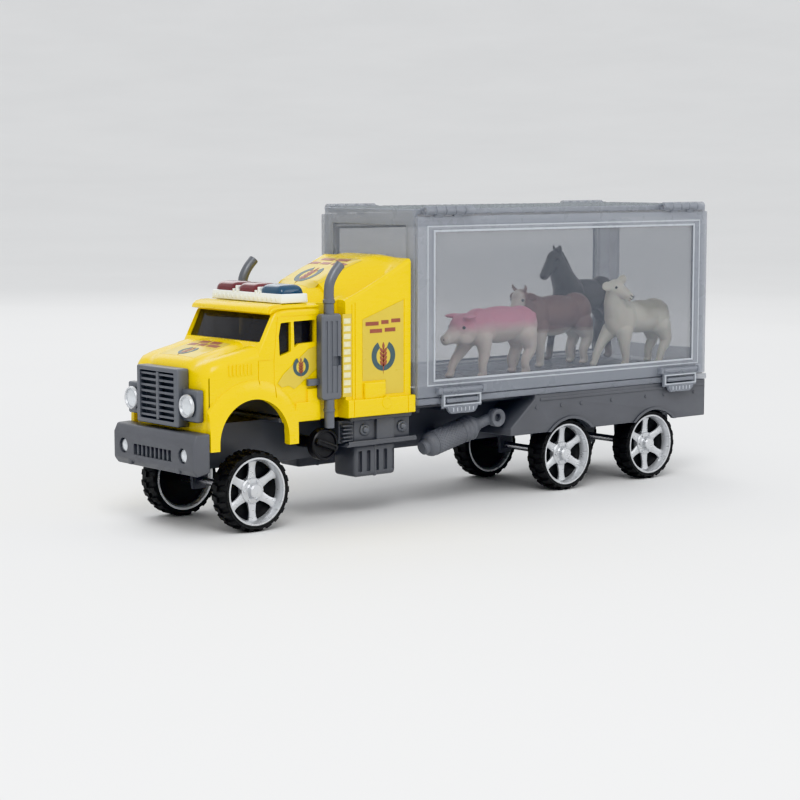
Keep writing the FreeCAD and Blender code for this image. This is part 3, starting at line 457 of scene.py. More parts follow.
def section(x, half, bottom, corner, height):
    """Loop at x whose top follows height(y) and rounds off into the side walls."""
    loop = [(x, -half, bottom)]
    for y in across(half, corner):
        edge = max(corner - (half - abs(y)), 0.0)
        loop.append((x, y, height(y) - corner + math.sqrt(max(corner ** 2 - edge ** 2, 0.0))))
    return loop + [(x, half, bottom)]


def smooth_step(value, low, high):
    u = min(max((value - low) / (high - low), 0.0), 1.0)
    return u * u * (3 - 2 * u)


def between(x, table):
    """Value at x on a line of (x, value) points."""
    for (x0, v0), (x1, v1) in zip(table, table[1:]):
        if x <= x1:
            return v0 + (v1 - v0) * (x - x0) / (x1 - x0)
    return table[-1][1]


def hood():
    rows = [(NOSE, 21.5, 62.0, 3.0), (NOSE + 0.4, 23.4, 63.6, 3.4), (NOSE + 1.4, 25.0, 65.2, 4.0),
            (NOSE + 3.5, 26.2, 66.6, 4.0), (NOSE + 8, 26.8, 68.0, 4.0), (NOSE + 16, 27.0, 69.8, 4.0),
            (NOSE + 24, 27.0, 71.8, 4.0), (NOSE + 29, 27.0, 73.0, 4.0)]

    def crowned(half, top):
        return lambda y: (top + 1.6 * (1 - (y / half) ** 2)
                          - 1.0 * math.exp(-((abs(y) - half * 0.62) / 2.2) ** 2))

    return loft([section(x, half, SILL - 5.5, corner, crowned(half, top)) for x, half, top, corner in rows])


def cab_block():
    rows = [(-109.6, 71.6), (-109.0, 72.8), (-106.2, 78.2), (-103.3, 83.6), (-102.4, 85.1), (-101.0, 86.6),
            (-98.6, 87.6), (-95.0, 88.0), (SLEEPER_FRONT + 1, 88.0)]
    rounded = [section(x, CAB_HALF - 0.15 * smooth_step(top, 72, 88), SILL, 3.2, lambda y, top=top: top)
               for x, top in rows]
    return loft(rounded)


DOME = [(-84, 88.6), (-80, 90.6), (-75, 93.2), (-70, 95.6), (-64, 98.4), (-57, 101.4), (-50, 103.6),
        (-42, 105.2),
        (REAR - 0.6, 105.8), (REAR, 105.4)]


def fairing_nose():
    """Front of the roof fairing, over the cab roof and on into the sleeper."""
    loops = []
    for x, half in ((-84, 12.0), (-82, 13.6), (-79, 15.4), (-75, 17.2), (-70, 18.8), (-64, 19.8),
                    (-58, 20.0)):
        top = between(x, DOME)
        loop = [(x, -half, ROOF - 3)]
        loop += [(x, half * v, ROOF - 0.6 + (top - ROOF + 0.6) * (1 - abs(v) ** 2.6) ** 0.75)
                 for v in (k / 18 for k in range(-18, 19))]
        loops.append(loop + [(x, half, ROOF - 3)])
    return loft(loops)


def sleeper_block():
    """Sleeper whose roof carries the dome in the middle and a hollow scoop on each side of it."""
    loops = []
    for k in range(25):
        x = SLEEPER_FRONT - 0.8 + (REAR - SLEEPER_FRONT + 0.8) * k / 24
        side_top = 88.8 + (x - SLEEPER_FRONT) * (104.6 - 88.8) / (REAR - SLEEPER_FRONT)
        dome = max(between(x, DOME), side_top)
        hollow = 4.2 * smooth_step(x, SLEEPER_FRONT,
                                   SLEEPER_FRONT + 10) * (1 - smooth_step(x, REAR - 16, REAR - 2))

        def height(y, side_top=side_top, dome=dome, hollow=hollow):
            body = side_top + (dome - side_top) * (1 - smooth_step(abs(y), 11.0, 22.0))
            return body - hollow * math.exp(-((abs(y) - 23.5) / 3.0) ** 2)

        loops.append(section(x, SLEEPER_HALF, SILL, 1.6, height))
    return loft(loops)


def seam(side, x0, x1, z0, z1, face, depth=0.35):
    return side_block(side, x0, x1, face - depth, face + 3, z0, z1, 0)


def line_seam(side, start, end, face, width=0.35, depth=0.35):
    """Straight groove in a side wall from start to end, each (x, z)."""
    a, b = Vector(start), Vector(end)
    n = Vector((-(b - a).y, (b - a).x)).normalized() * width / 2
    outline = [tuple(a + n), tuple(b + n), tuple(b - n), tuple(a - n)]
    return side_prism(side, outline, face - depth, face + 3)


def cab():
    shell = boolean(hood(), [cab_block()], "UNION")
    boolean(shell, [sleeper_block(), fairing_nose()], "UNION")
    flares, recesses, cuts = [], [], []
    for _, side in SIDES:
        y = side * (CAB_HALF - 1)
        band = ring([(ARCH_R - 1, 0), (ARCH_R + 7.8, 0), (ARCH_R + 7.3, 1.2), (ARCH_R + 6.0, 1.9),
                     (ARCH_R + 3.2, 2.4),
                     (ARCH_R + 0.4, 2.6), (ARCH_R - 1, 2.6)],
                     (ARCH_X, y if side == RIGHT else y - 2.6, ARCH_Z), "Y", 96)
        if side == LEFT:
            band.data.transform(Matrix.Translation((0, 2 * y - 2.6, 0)) @ Matrix.Scale(-1, 4, (0, 1, 0)))
            band.data.flip_normals()
        trims = [block((-150, -40, 10), (-60, 40, 33), 0), block((-160, -40, 10), (NOSE + 0.3, 40, 90), 0),
                 block((-91.5, -40, 10), (-60, 40, 90), 0)]
        flares.append(boolean(band, trims, "DIFFERENCE"))
        leg = side_prism(side, [(-96.6, 33.2), (-96.6, 46), (-91.5, 46), (-91.5, 40), (-92.6, 33.2)], 20,
                         CAB_HALF + 1, 0.3)
        skirt = side_prism(side, [(-73.6, SILL), (-72.6, 48.7), (REAR + 1.3, 48.7), (REAR + 1.3, SILL)],
                           SLEEPER_HALF - 2.4, 31.4, 0.5)
        step = side_prism(side, [(-93.4, SILL), (-92.4, 49.2), (DOOR_REAR, 49.2), (DOOR_REAR, SILL)],
                          CAB_HALF - 1, CAB_HALF + 1.0, 0.4)
        flares += [leg, skirt, step]
        recesses.append(side_block(side, DOOR_REAR, SLEEPER_FRONT, RECESS_HALF, 32, 30, ROOF + 2, 0))
    boolean(shell, flares[:4] + flares[4:], "UNION")
    cavity = prism([(NOSE + 1.6, 20), (NOSE + 1.6, 61), (NOSE + 5, 65.2), (-108, 70.9), (-101.2, 85.2),
                    (-98, 86.2),
                    (-67, 86.2), (-67, 20)], -CAB_HALF + 1.7, CAB_HALF - 1.7)
    for _, side in SIDES:
        boolean(cavity,
                [side_block(side, DOOR_REAR - 1.6, SLEEPER_FRONT + 4, RECESS_HALF - 1.6, 30, 10, ROOF + 4,
                            0)],
                "DIFFERENCE")
    bunk = prism([(SLEEPER_FRONT + 1.6, 20), (SLEEPER_FRONT + 1.6, 84), (REAR - 1.6, 94), (REAR - 1.6, 20)],
                 -SLEEPER_HALF + 1.7, SLEEPER_HALF - 1.7)
    arch = lathe([(0, -40), (ARCH_R, -40), (ARCH_R, 40), (0, 40)], (ARCH_X, 0, ARCH_Z), "Y", 96)
    under_arch = block((ARCH_X - ARCH_R, -40, 0), (ARCH_X + ARCH_R, 40, ARCH_Z), 0)
    boolean(shell, recesses + [cavity, bunk, arch, under_arch], "DIFFERENCE")
    for _, side in SIDES:
        cuts.append(side_prism(side,
                               [(-92.6, 71.0), (-90.4, 72.4), (-81.7, 72.8), (-81.7, 81.6), (-92.9, 81.4)],
                               18, 40, 0.4))
        cuts.append(side_prism(side,
                               [(-99.8, 68.0), (-94.2, 69.6), (-94.2, 81.3), (-99.2, 81.0), (-100.2, 76.0)],
                               18, 40, 0.4))
        cuts += [seam(side, -110.4, -110.0, 57.5, 66.8, CAB_HALF),
                 seam(side, -65.9, -65.5, 48.7, 87.0, SLEEPER_HALF),
                 seam(side, -64.3, -63.9, 48.7, 87.6, SLEEPER_HALF),
                 seam(side, -102.8, -102.4, 52, 66.8, CAB_HALF),
                 seam(side, -99.2, DOOR_REAR - 0.8, 83.3, 83.7, CAB_HALF),
                 seam(side, -66.2, -65.8, 40, 49, 31.4, 0.3),
                 seam(side, -38.0, -37.6, 40, 49, 31.4, 0.3),
                 seam(side, -110.2, -102.5, 66.6, 66.9, CAB_HALF, 0.25),
                 line_seam(side, (-102.6, 66.6), (-100.8, 83.4), CAB_HALF)]
        cuts.append(side_prism(side, [(-60.6, 49.6), (-60.6, 80.9), (-38.3, 88.4), (-38.3, 49.6)],
                               SLEEPER_HALF - 0.3, SLEEPER_HALF + 2))
    windscreen = prism([(-113, 73.7), (-113, 84.2), (-98.6, 84.2), (-104.4, 73.7)], -25.2, 25.2, 0.8)
    boolean(shell, cuts + [windscreen], "DIFFERENCE")
    details = []
    for _, side in SIDES:
        details += [side_block(side, -124.2 + 1.75 * k, -123.3 + 1.75 * k, CAB_HALF - 0.4, CAB_HALF + 0.4,
                               61.6, 66.0, 0.2)
                    for k in range(7)]
        details.append(side_block(side, -59.8, -48.9, SLEEPER_HALF - 0.5, 30.7, 48.4, 55.2, 0.7))
        details.append(lathe([(0, 0), (2.6, 0), (2.5, 0.35), (1.9, 0.45), (1.6, 0.25), (0, 0.25)],
                             (-49.2, side * 31.3, 46.6), turn=AXIS_TURN["Y"] if side == RIGHT
                             else Matrix(((1, 0, 0), (0, 0, -1), (0, 1, 0))), steps=40))
        details.append(side_block(side, -86.6, DOOR_REAR - 0.1, CAB_HALF - 0.3, CAB_HALF + 0.9, 48.2, 54.4,
                                  0.35))
        details.append(tube(curve_points([(-104.2, side * 26.6, 84.9), (-103.2, side * 26.9, 86.2),
                                          (-99, side * 26.9, 86.9),
                                          (-90, side * 26.9, 87.0), (-81, side * 26.9, 87.0)], 20), 0.5,
                                          12))
    visor = prism([(-105.0, 84.6), (-105.0, 86.4), (-103.6, 87.6), (-101, 88.15), (-97, 88.2), (-97, 86.2),
                   (-101.4, 85.0)],
                  -25.9, 25.9, 0.7)
    return weld("cab", [bevel(shell, 0.18, 2, 40), visor] + details)


place(cab(), "cab_moulding", "truck", yellow, ["cab_shell"], 30)


# ---------------------------------------------------------------- running gear

def arc(radius, start, end, centre, count=6):
    """Points on an arc in a profile, angles in degrees."""
    return [(centre[0] + radius * math.cos(math.radians(start + (end - start) * k / count)),
             centre[1] + radius * math.sin(math.radians(start + (end - start) * k / count)))
             for k in range(count + 1)]


def tyre_shape(centre, width, radius, bead):
    """Carcass with a rounded shoulder and sidewall ridges, under two rows of slanted tread blocks."""
    half = width / 2
    base = radius - 0.9
    side = [(bead, half - 0.5), (bead + 0.4, half - 0.2), (bead + 0.9, half - 0.35),
            (bead + 1.3, half - 0.1),
            (base - 0.8, half - 0.25), (base - 0.2, half - 0.7), (base, half - 1.3)]
    profile = side + [(r, -h) for r, h in reversed(side)]
    pieces = [ring(profile, centre, "Y", 120)]
    count = 22
    for k in range(count):
        for row, q in ((0, 1), (0.5, -1)):
            angle = math.tau * (k + row) / count
            lug = [(-1.35, 0.35), (1.0, 0.35), (1.75, half - 1.4), (1.75, half - 0.2), (-0.6, half - 0.2),
                   (-0.6, half - 1.4)]
            low = [(x, q * y, base - 1.2 if abs(y) > half - 1 else base - 0.4) for x, y in lug]
            top = [(x * 0.9, q * min(y, half - 0.55), radius - (0.06 if abs(y) < half - 1 else 0.5))
                   for x, y in lug]
            solid = loft([low, top])
            solid.data.transform(Matrix.Translation(centre) @ Matrix.Rotation(angle, 4, "Y"))
            pieces.append(solid)
    return weld("tyre", pieces)


def rim_shape(centre, side, width, radius):
    """Dished rim with six tapered spokes, a stepped hub, six nuts and a domed cap."""
    half = width / 2 - 0.4
    barrel = ring([(radius - 0.9, -half), (radius, -half), (radius, half - 0.9), (radius - 0.1, half),
                   (radius - 0.8, half),
                   (radius - 1.1, half - 0.9), (radius - 1.7, half - 1.8), (radius - 1.7, -half + 1)],
                   (0, 0, 0), "Y", 96)
    hub = lathe([(0, -1.6), (5.2, -1.6), (5.2, 1.4), (4.9, 1.7), (3.3, 1.9), (3.0, 2.2), (2.8, half - 0.6),
                 (2.4, half - 0.2),
                 (1.4, half - 0.05), (0, half)], (0, 0, 0), "Y", 64)
    pieces = [barrel, hub]
    for k in range(6):
        turn = Matrix.Rotation(math.tau * k / 6, 4, "Y")
        foot, tip = 4.4, radius - 1.3
        loops = []
        for r, w, depth, lift in ((foot, 2.1, 1.6, 1.2), (6.2, 1.7, 1.3, 1.35), (8.4, 1.45, 1.15, 1.5),
                                  (10.4, 1.6, 1.2, 1.7), (tip, 2.3, 1.5, 2.0)):
            loops.append([(-w, lift - depth, r), (-w, lift - 0.35, r), (-w * 0.55, lift, r),
                          (w * 0.55, lift, r),
                          (w, lift - 0.35, r), (w, lift - depth, r)])
        spoke = loft(loops)
        spoke.data.transform(turn)
        nut = lathe([(0, 1.5), (0.62, 1.5), (0.62, 2.25), (0.45, 2.4), (0, 2.4)], (0, 0, 0), "Y", 6)
        nut.data.transform(Matrix.Rotation(math.tau * (k + 0.5) / 6, 4,
                                           "Y") @ Matrix.Translation((0, 0, 4.1)))
        pieces += [spoke, nut]
    rim = weld("rim", pieces)
    if side == LEFT:
        rim.data.transform(Matrix.Scale(-1, 4, (0, 1, 0)))
        rim.data.flip_normals()
    rim.data.transform(Matrix.Translation(centre))
    return rim


def rim_web(centre, side, radius):
    """Dark dish of the wheel, seen between the spokes."""
    dish = lathe([(0, -2.2), (radius - 1.5, -2.2), (radius - 1.5, 0.9), (radius - 2.1, -0.4),
                  (radius - 3.2, -1.2), (0, -1.2)],
                 (0, 0, 0), "Y", 72)
    if side == LEFT:
        dish.data.transform(Matrix.Scale(-1, 4, (0, 1, 0)))
        dish.data.flip_normals()
    dish.data.transform(Matrix.Translation(centre))
    return dish


def running_gear():
    for end in ("front", "middle", "rear"):
        for name, side in SIDES:
            low, high = corners(f"tyre_{end}_{name}")
            centre = (low + high) / 2
            rim_low, rim_high = corners(f"rim_{end}_{name}")
            width, bead = high.y - low.y, (rim_high.x - rim_low.x) / 2
            place(tyre_shape(centre, width, (high.x - low.x) / 2, bead - 0.05),
                  f"tyre_{end}_{name}_treaded",
                  f"{end}_wheel_set", rubber, [f"tyre_{end}_{name}"], 40)
            place(rim_shape(centre, side, width, bead), f"rim_{end}_{name}_spoked", f"{end}_wheel_set",
                  silver,
                  [f"rim_{end}_{name}"], 35)
            place(rim_web(centre, side, bead), f"wheel_{end}_{name}_dish", f"{end}_wheel_set",
                  rubber, (), 35)
        low, high = corners(f"axle_{end}")
        mid = (low + high) / 2
        r, reach = (high.x - low.x) / 2, (high.y - low.y) / 2 - 0.3
        pin = lathe([(0, -reach), (r - 0.3, -reach), (r, -reach + 0.3), (r, reach - 0.3), (r - 0.3, reach),
                     (0, reach)],
                    mid, "Y", 40)
        place(pin, f"axle_{end}_pin", f"{end}_wheel_set", steel, [f"axle_{end}"])


running_gear()


# ---------------------------------------------------------------- front end and roof

def front_end():
    low, high = corners("front_grille")
    x0, x1 = low.x, high.x
    surround = boolean(block((x0 + 0.3, -14.5, 41.6), (x1, 14.5, 64.4), 0.8),
                       [block((x0 - 2, -12.0, 43.6), (x0 + 3.4, 12.0, 62.6), 0.6)], "DIFFERENCE")
    bars = [block((x0 + 0.7, -12.3, 44.4 + 2.35 * k), (x0 + 2.6, 12.3, 45.5 + 2.35 * k), 0.35)
            for k in range(8)]
    spine = block((x0 + 0.4, -0.9, 43.6), (x0 + 3, 0.9, 62.6), 0.4)
    wings = [side_block(side, x1 - 3.4, x1, 13.8, 24.4, 44.2, 56.8, 0.8) for _, side in SIDES]
    place(weld("grille", [surround, spine] + bars + wings), "grille_barred", "truck",
          gunmetal,
          ["front_grille"])
    for name, side in SIDES:
        low, high = corners(f"headlight_{name}")
        mid = (low + high) / 2
        r = (high.z - low.z) / 2
        face, back = low.x, high.x
        turn = AXIS_TURN["X"]
        bezel = ring([(r - 1.1, back - 0.4), (r, back - 0.4), (r, face + 0.5), (r - 0.3, face),
                      (r - 0.8, face + 0.1),
                      (r - 1.1, face + 0.6)], (0, mid.y, mid.z), "X", 64)
        place(bezel, f"headlight_{name}_bezel", "truck", silver)
        lens = lathe([(0, face + 0.1), (1.2, face + 0.14), (2.4, face + 0.32), (r - 0.9, face + 0.75),
                      (r - 0.9, back - 0.2),
                      (0, back - 0.2)], (0, mid.y, mid.z), turn=turn, steps=64)
        place(lens, f"headlight_{name}_lens", "truck", lamp_lens, [f"headlight_{name}"])
    low, high = corners("front_bumper")
    bar = prism([(low.x, 26.4), (low.x, 36.8), (low.x + 1.6, 40.2), (high.x, 40.4), (high.x, 25),
                 (low.x + 2, 23.7)],
                low.y + 0.1, high.y - 0.1, 0.9, 4)
    tools = [block((low.x - 1, -13.6, 28.6), (low.x + 1.8, 13.6, 33.0), 0.5)]
    for _, side in SIDES:
        tools.append(lathe([(0, low.x - 1), (3.0, low.x - 1), (3.0, low.x + 1.7), (0, low.x + 1.7)],
                           (0, side * 21, 31.6), "X", 48))
    bar = boolean(bar, tools, "DIFFERENCE")
    vents = [block((low.x + 0.4, -13.4 + 3.0 * k, 28.4), (low.x + 2, -12.2 + 3.0 * k, 33.2), 0.2)
             for k in range(9)]
    hooks = [block((low.x + 0.1, y - 1.3, 24.3), (low.x + 3, y + 1.3, 27.2), 0.4) for y in (-17, 17)]
    place(weld("bumper", [bar] + vents + hooks), "bumper_bar", "truck", chassis_grey,
          ["front_bumper"])
    fogs = []
    for _, side in SIDES:
        fogs.append(lathe([(0, low.x + 0.45), (1.3, low.x + 0.5), (2.5, low.x + 0.9), (2.5, low.x + 2),
                           (0, low.x + 2)],
                          (0, side * 21, 31.6), "X", 40))
    place(weld("fogs", fogs), "fog_lamps", "truck", lamp_lens)


def light_bar():
    """White tray with notched dividers under three domed beacons."""
    low, high = corners("light_bar_base")
    top = corners("beacon_left")[0].z
    tray = boolean(prism([(low.x, low.z + 0.3), (low.x + 0.5, top), (high.x - 0.4, top),
                          (high.x, low.z + 0.3)],
                         low.y, high.y, 0.45),
                         [block((low.x + 1.1, low.y + 1.2, top - 0.5),
                                (high.x - 1.1, high.y - 1.2, top + 1),
                                                       0.2)], "DIFFERENCE")
    details = []
    for y in (-7.6, 7.6):
        details.append(block((low.x + 0.8, y - 0.55, top - 0.6), (high.x - 0.8, y + 0.55, high.z), 0.25))
        details += [block((low.x + 0.35, y + q * 1.5 - 0.5, top - 0.3),
                          (low.x + 1.5, y + q * 1.5 + 0.5, top + 0.9), 0.15)
                    for q in (-1, 1)]
    details += [block((low.x - 0.05, -21 + 3 * k, low.z + 1.2), (low.x + 0.8, -20 + 3 * k, low.z + 2.6),
                      0.15)
                for k in range(15)]
    place(weld("tray", [tray] + details), "light_bar_tray", "truck", white,
          ["light_bar_base"])
    for name, slot, material in (("left", "blue_lens", blue_lens), ("centre", "red_lens", red_lens),
                                 ("right", "red_lens", red_lens)):
        low, high = corners(f"beacon_{name}")
        loops = []
        length = high.y - low.y
        for k in range(17):
            v = -1 + 2 * k / 16
            shrink = (1 - abs(v) ** 7) ** 0.5 if abs(v) < 1 else 0.0
            shrink = max(shrink, 0.45)
            y = (low.y + high.y) / 2 + v * length / 2
            loop = []
            for a in range(0, 181, 12):
                c, s = math.cos(math.radians(a)), math.sin(math.radians(a))
                wide = (high.x - low.x) / 2 * (0.75 + 0.25 * shrink)
                loop.append(((low.x + high.x) / 2 - wide * math.copysign(abs(c) ** 0.55, c), y,
                             low.z - 0.4 + (high.z - low.z + 0.4) * shrink * s ** 0.6 if s > 0
                             else low.z - 0.4))
            loops.append(loop)
        dome = loft(loops)
        place(dome, f"beacon_{name}_dome", "truck", material, [f"beacon_{name}"], 50)


front_end()
light_bar()


# ---------------------------------------------------------------- stacks, tanks and silencers

def stack_shape(side, low, high):
    """Fluted box-shaped shroud on a pipe that bends backwards at the top and ends in an angled mouth."""
    x, y, pipe = -77.3, side * 29.4, 2.1
    x0, x1, inner, outer = x - 5.0, x + 5.0, 27.4, 31.42
    lower = lathe([(0, low.z), (pipe, low.z), (pipe, 44.6), (pipe + 0.25, 44.9), (pipe + 0.25, 45.7),
                   (pipe, 46.0), (pipe, 49.8),
                   (0, 49.8)], (x, y, 0), "Z", 48)
    shroud = side_prism(side,
                        [(x0 + 0.9, 49.6), (x0, 50.5), (x0, 83.0), (x0 + 0.9, 83.9), (x1 - 0.9, 83.9),
                         (x1, 83.0),
                               (x1, 50.5), (x1 - 0.9, 49.6)], inner, outer, 0.8)
    flutes = [side_block(side, x + k, x + k + 1.3, outer - 0.35, outer + 1, 52.4, 81.0, 0.12)
              for k in (-3.4, -0.9, 1.6)]
    notch = side_block(side, x + 0.6, x + 4.4, outer - 1.5, outer + 1, 63.2, 66.9, 0.15)
    shroud = bevel(boolean(shroud, flutes + [notch], "DIFFERENCE"), 0.08, 2, 40)
    collar = lathe([(0, 83.5), (pipe, 83.5), (pipe, 87.9), (pipe + 0.35, 88.2), (pipe + 0.35, 89.3),
                    (pipe, 89.7), (pipe, 90.6),
                    (0, 90.6)], (x, y, 0), "Z", 48)
    route = curve_points([(x, y, 86), (x, y, 92), (x + 0.5, y, 96.0), (x + 2.7, y, 99.9),
                          (x + 5.8, y, 103.2)], 26)
    tail = tube(route, [pipe - 0.06] * 26, 40)
    mouth = tube([route[-1] - (route[-1] - route[-2]).normalized() * 5,
                  route[-1] + (route[-1] - route[-2]) * 4], pipe - 0.6, 40)
    trim = prism([(x + 5.9, 90), (x + 8.3, 112), (x + 16, 112), (x + 16, 90)], y - 8, y + 8)
    tail = boolean(tail, [mouth, trim], "DIFFERENCE")
    arms = [side_block(side, x0 - 5.1, x0 + 0.6, CAB_HALF + 0.45, 29.2, 55.5, 58.3, 0.35),
            side_block(side, x - 1.5, x + 1.5, RECESS_HALF, 29.4, 59, 61.3, 0.3),
            side_block(side, x - 1.5, x + 1.5, RECESS_HALF, 29.4, 79, 81.3, 0.3)]
    return weld("stack", [lower, shroud, collar, tail] + arms)


def filler_cap(side, low, high):
    """Round cap with a knurled rim and a raised bar across a dished face."""
    x, z = (low.x + high.x) / 2, (low.z + high.z) / 2
    r = (high.x - low.x) / 2
    profile = [(0, 25.2), (r - 0.4, 25.2), (r, 25.7), (r, 29.0), (r - 0.5, 29.6), (r - 1.1, 29.6),
               (r - 1.4, 29.0), (0, 28.8)]
    cap = lathe(profile, (x, 0, z), turn=AXIS_TURN["Y"], steps=72)
    knurls = []
    for k in range(36):
        rib = block((-0.18, 25.8, r - 0.25), (0.18, 28.9, r + 0.0), 0)
        rib.data.transform(Matrix.Translation((x, 0, z)) @ Matrix.Rotation(math.tau * k / 36, 4, "Y"))
        knurls.append(rib)
    bar = block((-r + 0.9, 28.4, -1.2), (r - 0.9, 31.1, 1.2), 0.5)
    groove = block((-r + 2.2, 30.7, -0.4), (r - 2.2, 32, 0.4), 0.1)
    bar = boolean(bar, [groove], "DIFFERENCE")
    bar.data.transform(Matrix.Translation((x, 0, z)) @ Matrix.Rotation(math.radians(20), 4, "Y"))
    stub = lathe([(0, 12), (2.4, 12), (2.4, 25.6), (0, 25.6)], (x, 0, z), "Y", 36)
    whole = weld("cap", [cap, bar, stub] + knurls)
    if side == LEFT:
        whole.data.transform(Matrix.Scale(-1, 4, (0, 1, 0)))
        whole.data.flip_normals()
    return whole


def step_tank(side, low):
    """Battery box with a divider, a rounded step under it and a slotted tank below."""
    inner = 12.0
    box_part = side_block(side, -62.6, -33.2, inner, 26.6, 30.2, 41.3, 0.5)
    top_rail = side_block(side, -65.5, -33.2, inner, 28.3, 39.6, 41.4, 0.4)
    divider = side_block(side, -51.6, -42.4, inner, 28.0, 30.2, 41.3, 0.5)
    outline = [(-67.6, 29.2), (-66.0, 30.8), (-30.7, 30.8), (-30.7, 29.4), (-66.4, 29.1)]
    shelf = side_prism(side, outline, inner, 28.5, 0.35)
    front = loft([[(-62, side * y, z), (-68.4, side * (y - 2.4 if y > 20 else y), z)][::1]
                  + [(-68.4, side * inner, z), (-62, side * inner, z)]
                  for y, z in ((26.4, 30.4), (26.4, 39.8))])
    ribs = [side_block(side, -68.3 + 0.25 * (k % 2), -63.0, 24.6, 26.7, 31.2 + 1.55 * k, 32.0 + 1.55 * k,
                       0.3) for k in range(5)]
    tank = boolean(side_block(side, -61.8, -40.2, inner, 26.2, low.z + 0.1, 29.6, 1.6),
                   [side_block(side, -60.0 + 4.4 * k, -58.0 + 4.4 * k, 24.8, 30, 18.2, 26.8, 0.4)
                    for k in range(5)], "DIFFERENCE")
    straps = [side_block(side, x, x + 1.4, inner, 26.39, low.z + 0.05, 29.8, 0.5) for x in (-62.0 + 10.2,)]
    lip = side_block(side, -66.5, -31, 27.8, 28.55, 30.2, 31.4, 0.3)
    return weld("tank", [box_part, top_rail, divider, shelf, front, tank, lip] + ribs + straps)


def tank_bolts(side, low, high):
    """Domed bolt heads, each on a raised washer."""
    z = (low.z + high.z) / 2
    pieces = []
    for x in (low.x + 2.4, high.x - 2.4):
        profile = [(0, 26.4), (2.4, 26.4), (2.4, 27.1), (2.0, 27.45), (1.45, 27.4), (1.35, 27.9),
                   (1.0, 28.3), (0.5, 28.48), (0, 28.5)]
        pieces.append(lathe(profile, (x, 0, z), "Y", 48))
    whole = weld("bolts", pieces)
    if side == LEFT:
        whole.data.transform(Matrix.Scale(-1, 4, (0, 1, 0)))
        whole.data.flip_normals()
    return whole


def knurled_sleeve(radius, start, end, pips=24, pitch=0.95, height=0.2):
    """Drum skin along Z, covered in staggered round pips."""
    steps, rows = pips * 8, 6 * round((end - start) / pitch)

    def loop(z, extra):
        return [((radius + extra(a)) * math.cos(a), (radius + extra(a)) * math.sin(a), z)
                for a in (math.tau * k / steps for k in range(steps))]

    loops = [loop(start, lambda a: -0.4)]
    for j in range(rows + 1):
        z = start + (end - start) * j / rows
        wave = math.sin(math.pi * (z - start) / pitch)
        loops.append(loop(z, lambda a: height * max(0.0, wave * math.sin(pips * a)) ** 0.6))
    loops.append(loop(end, lambda a: -0.4))
    return loft(loops)


def silencer(side):
    """Slanted drum with a pinched nose, ring collars, a neck and a round outlet, hung from one bracket."""
    r = 5.1
    profile = [(0, 0.3), (2.6, 0.3), (3.1, 0.8), (3.2, 2.4), (4.4, 3.2), (r - 0.3, 4.0), (r, 4.8),
               (r, 23.6), (r + 0.3, 24.0),
               (r + 0.45, 24.5), (r + 0.3, 25.0), (r, 25.4), (r, 26.2), (r + 0.3, 26.6), (r + 0.48, 27.2),
               (r + 0.3, 27.8),
               (r - 0.3, 28.6), (r - 1.4, 30.4), (3.0, 31.8), (2.5, 33.0), (2.4, 39.4), (0, 39.4)]
    drum = lathe(profile, (0, 0, 0), "Z", 72)
    bands = [ring([(r - 0.1, h), (r + 0.2, h + 0.1), (r + 0.2, h + 0.5), (r - 0.1, h + 0.6)], (0, 0, 0),
                  "Z", 72)
             for h in (6.4, 21.6)]
    mouth = ring([(1.7, 0.2), (1.7, 3.4), (2.5, 4.0), (3.7, 4.1), (3.95, 3.7), (3.95, 0.6), (3.5, 0.2)],
                 (0, 0, 0), "Y", 56)
    floor_disc = lathe([(0, 0.3), (3.6, 0.3), (3.6, 1.2), (2.2, 1.6), (0, 1.7)], (0, 0, 0), "Y", 48)
    bands.append(knurled_sleeve(r, 7.2, 21.4))
    tilt = Matrix.Translation((-25.5, 25, 25)) @ Matrix.Rotation(math.radians(76), 4, "Y")
    for part in [drum] + bands:
        part.data.transform(tilt)
    end = tilt @ Vector((0, 0, 41.6))
    outlet = weld("outlet", [mouth, floor_disc])
    outlet.data.transform(Matrix.Translation((end.x, end.y - 0.2, end.z)))
    bracket = block((-12, 12.0, 27.2), (-6.4, 22, 30.8), 0.5)
    whole = weld("silencer", [drum, outlet, bracket] + bands)
    if side == LEFT:
        whole.data.transform(Matrix.Scale(-1, 4, (0, 1, 0)))
        whole.data.flip_normals()
    return whole


def drum_skin():
    """Grey plastic with a fine sand-blast grain."""
    m = Nodes("muffler_skin", 0.45)
    m.color(m.ramp(m.noise(40.0), [(0.3, srgb(94, 96, 102)), (0.7, srgb(114, 117, 123))]))
    m.bump(m.voronoi(900.0), 0.00016, 0.8)
    m.bump(m.noise(2600.0, 2.0), 0.00003, 0.5)
    return m.material


muffler_skin = drum_skin()
for name, side in SIDES:
    place(stack_shape(side, *corners(f"exhaust_stack_{name}")), f"stack_{name}_fluted", "truck",
          gunmetal,
          [f"exhaust_stack_{name}"])
    place(filler_cap(side, *corners(f"filler_cap_{name}")), f"filler_{name}_knurled", "truck",
          black,
          [f"filler_cap_{name}"])
    place(step_tank(side, corners(f"step_tank_{name}")[0]), f"tank_{name}_stepped", "truck",
          chassis_grey,
          [f"step_tank_{name}"])
    place(tank_bolts(side, *corners(f"tank_bolts_{name}")), f"tank_{name}_bolt_heads", "truck",
          gunmetal,
          [f"tank_bolts_{name}"])
    place(silencer(side), f"silencer_{name}_drum", "truck", muffler_skin,
          [f"muffler_{name}"])


# ---------------------------------------------------------------- bed and case

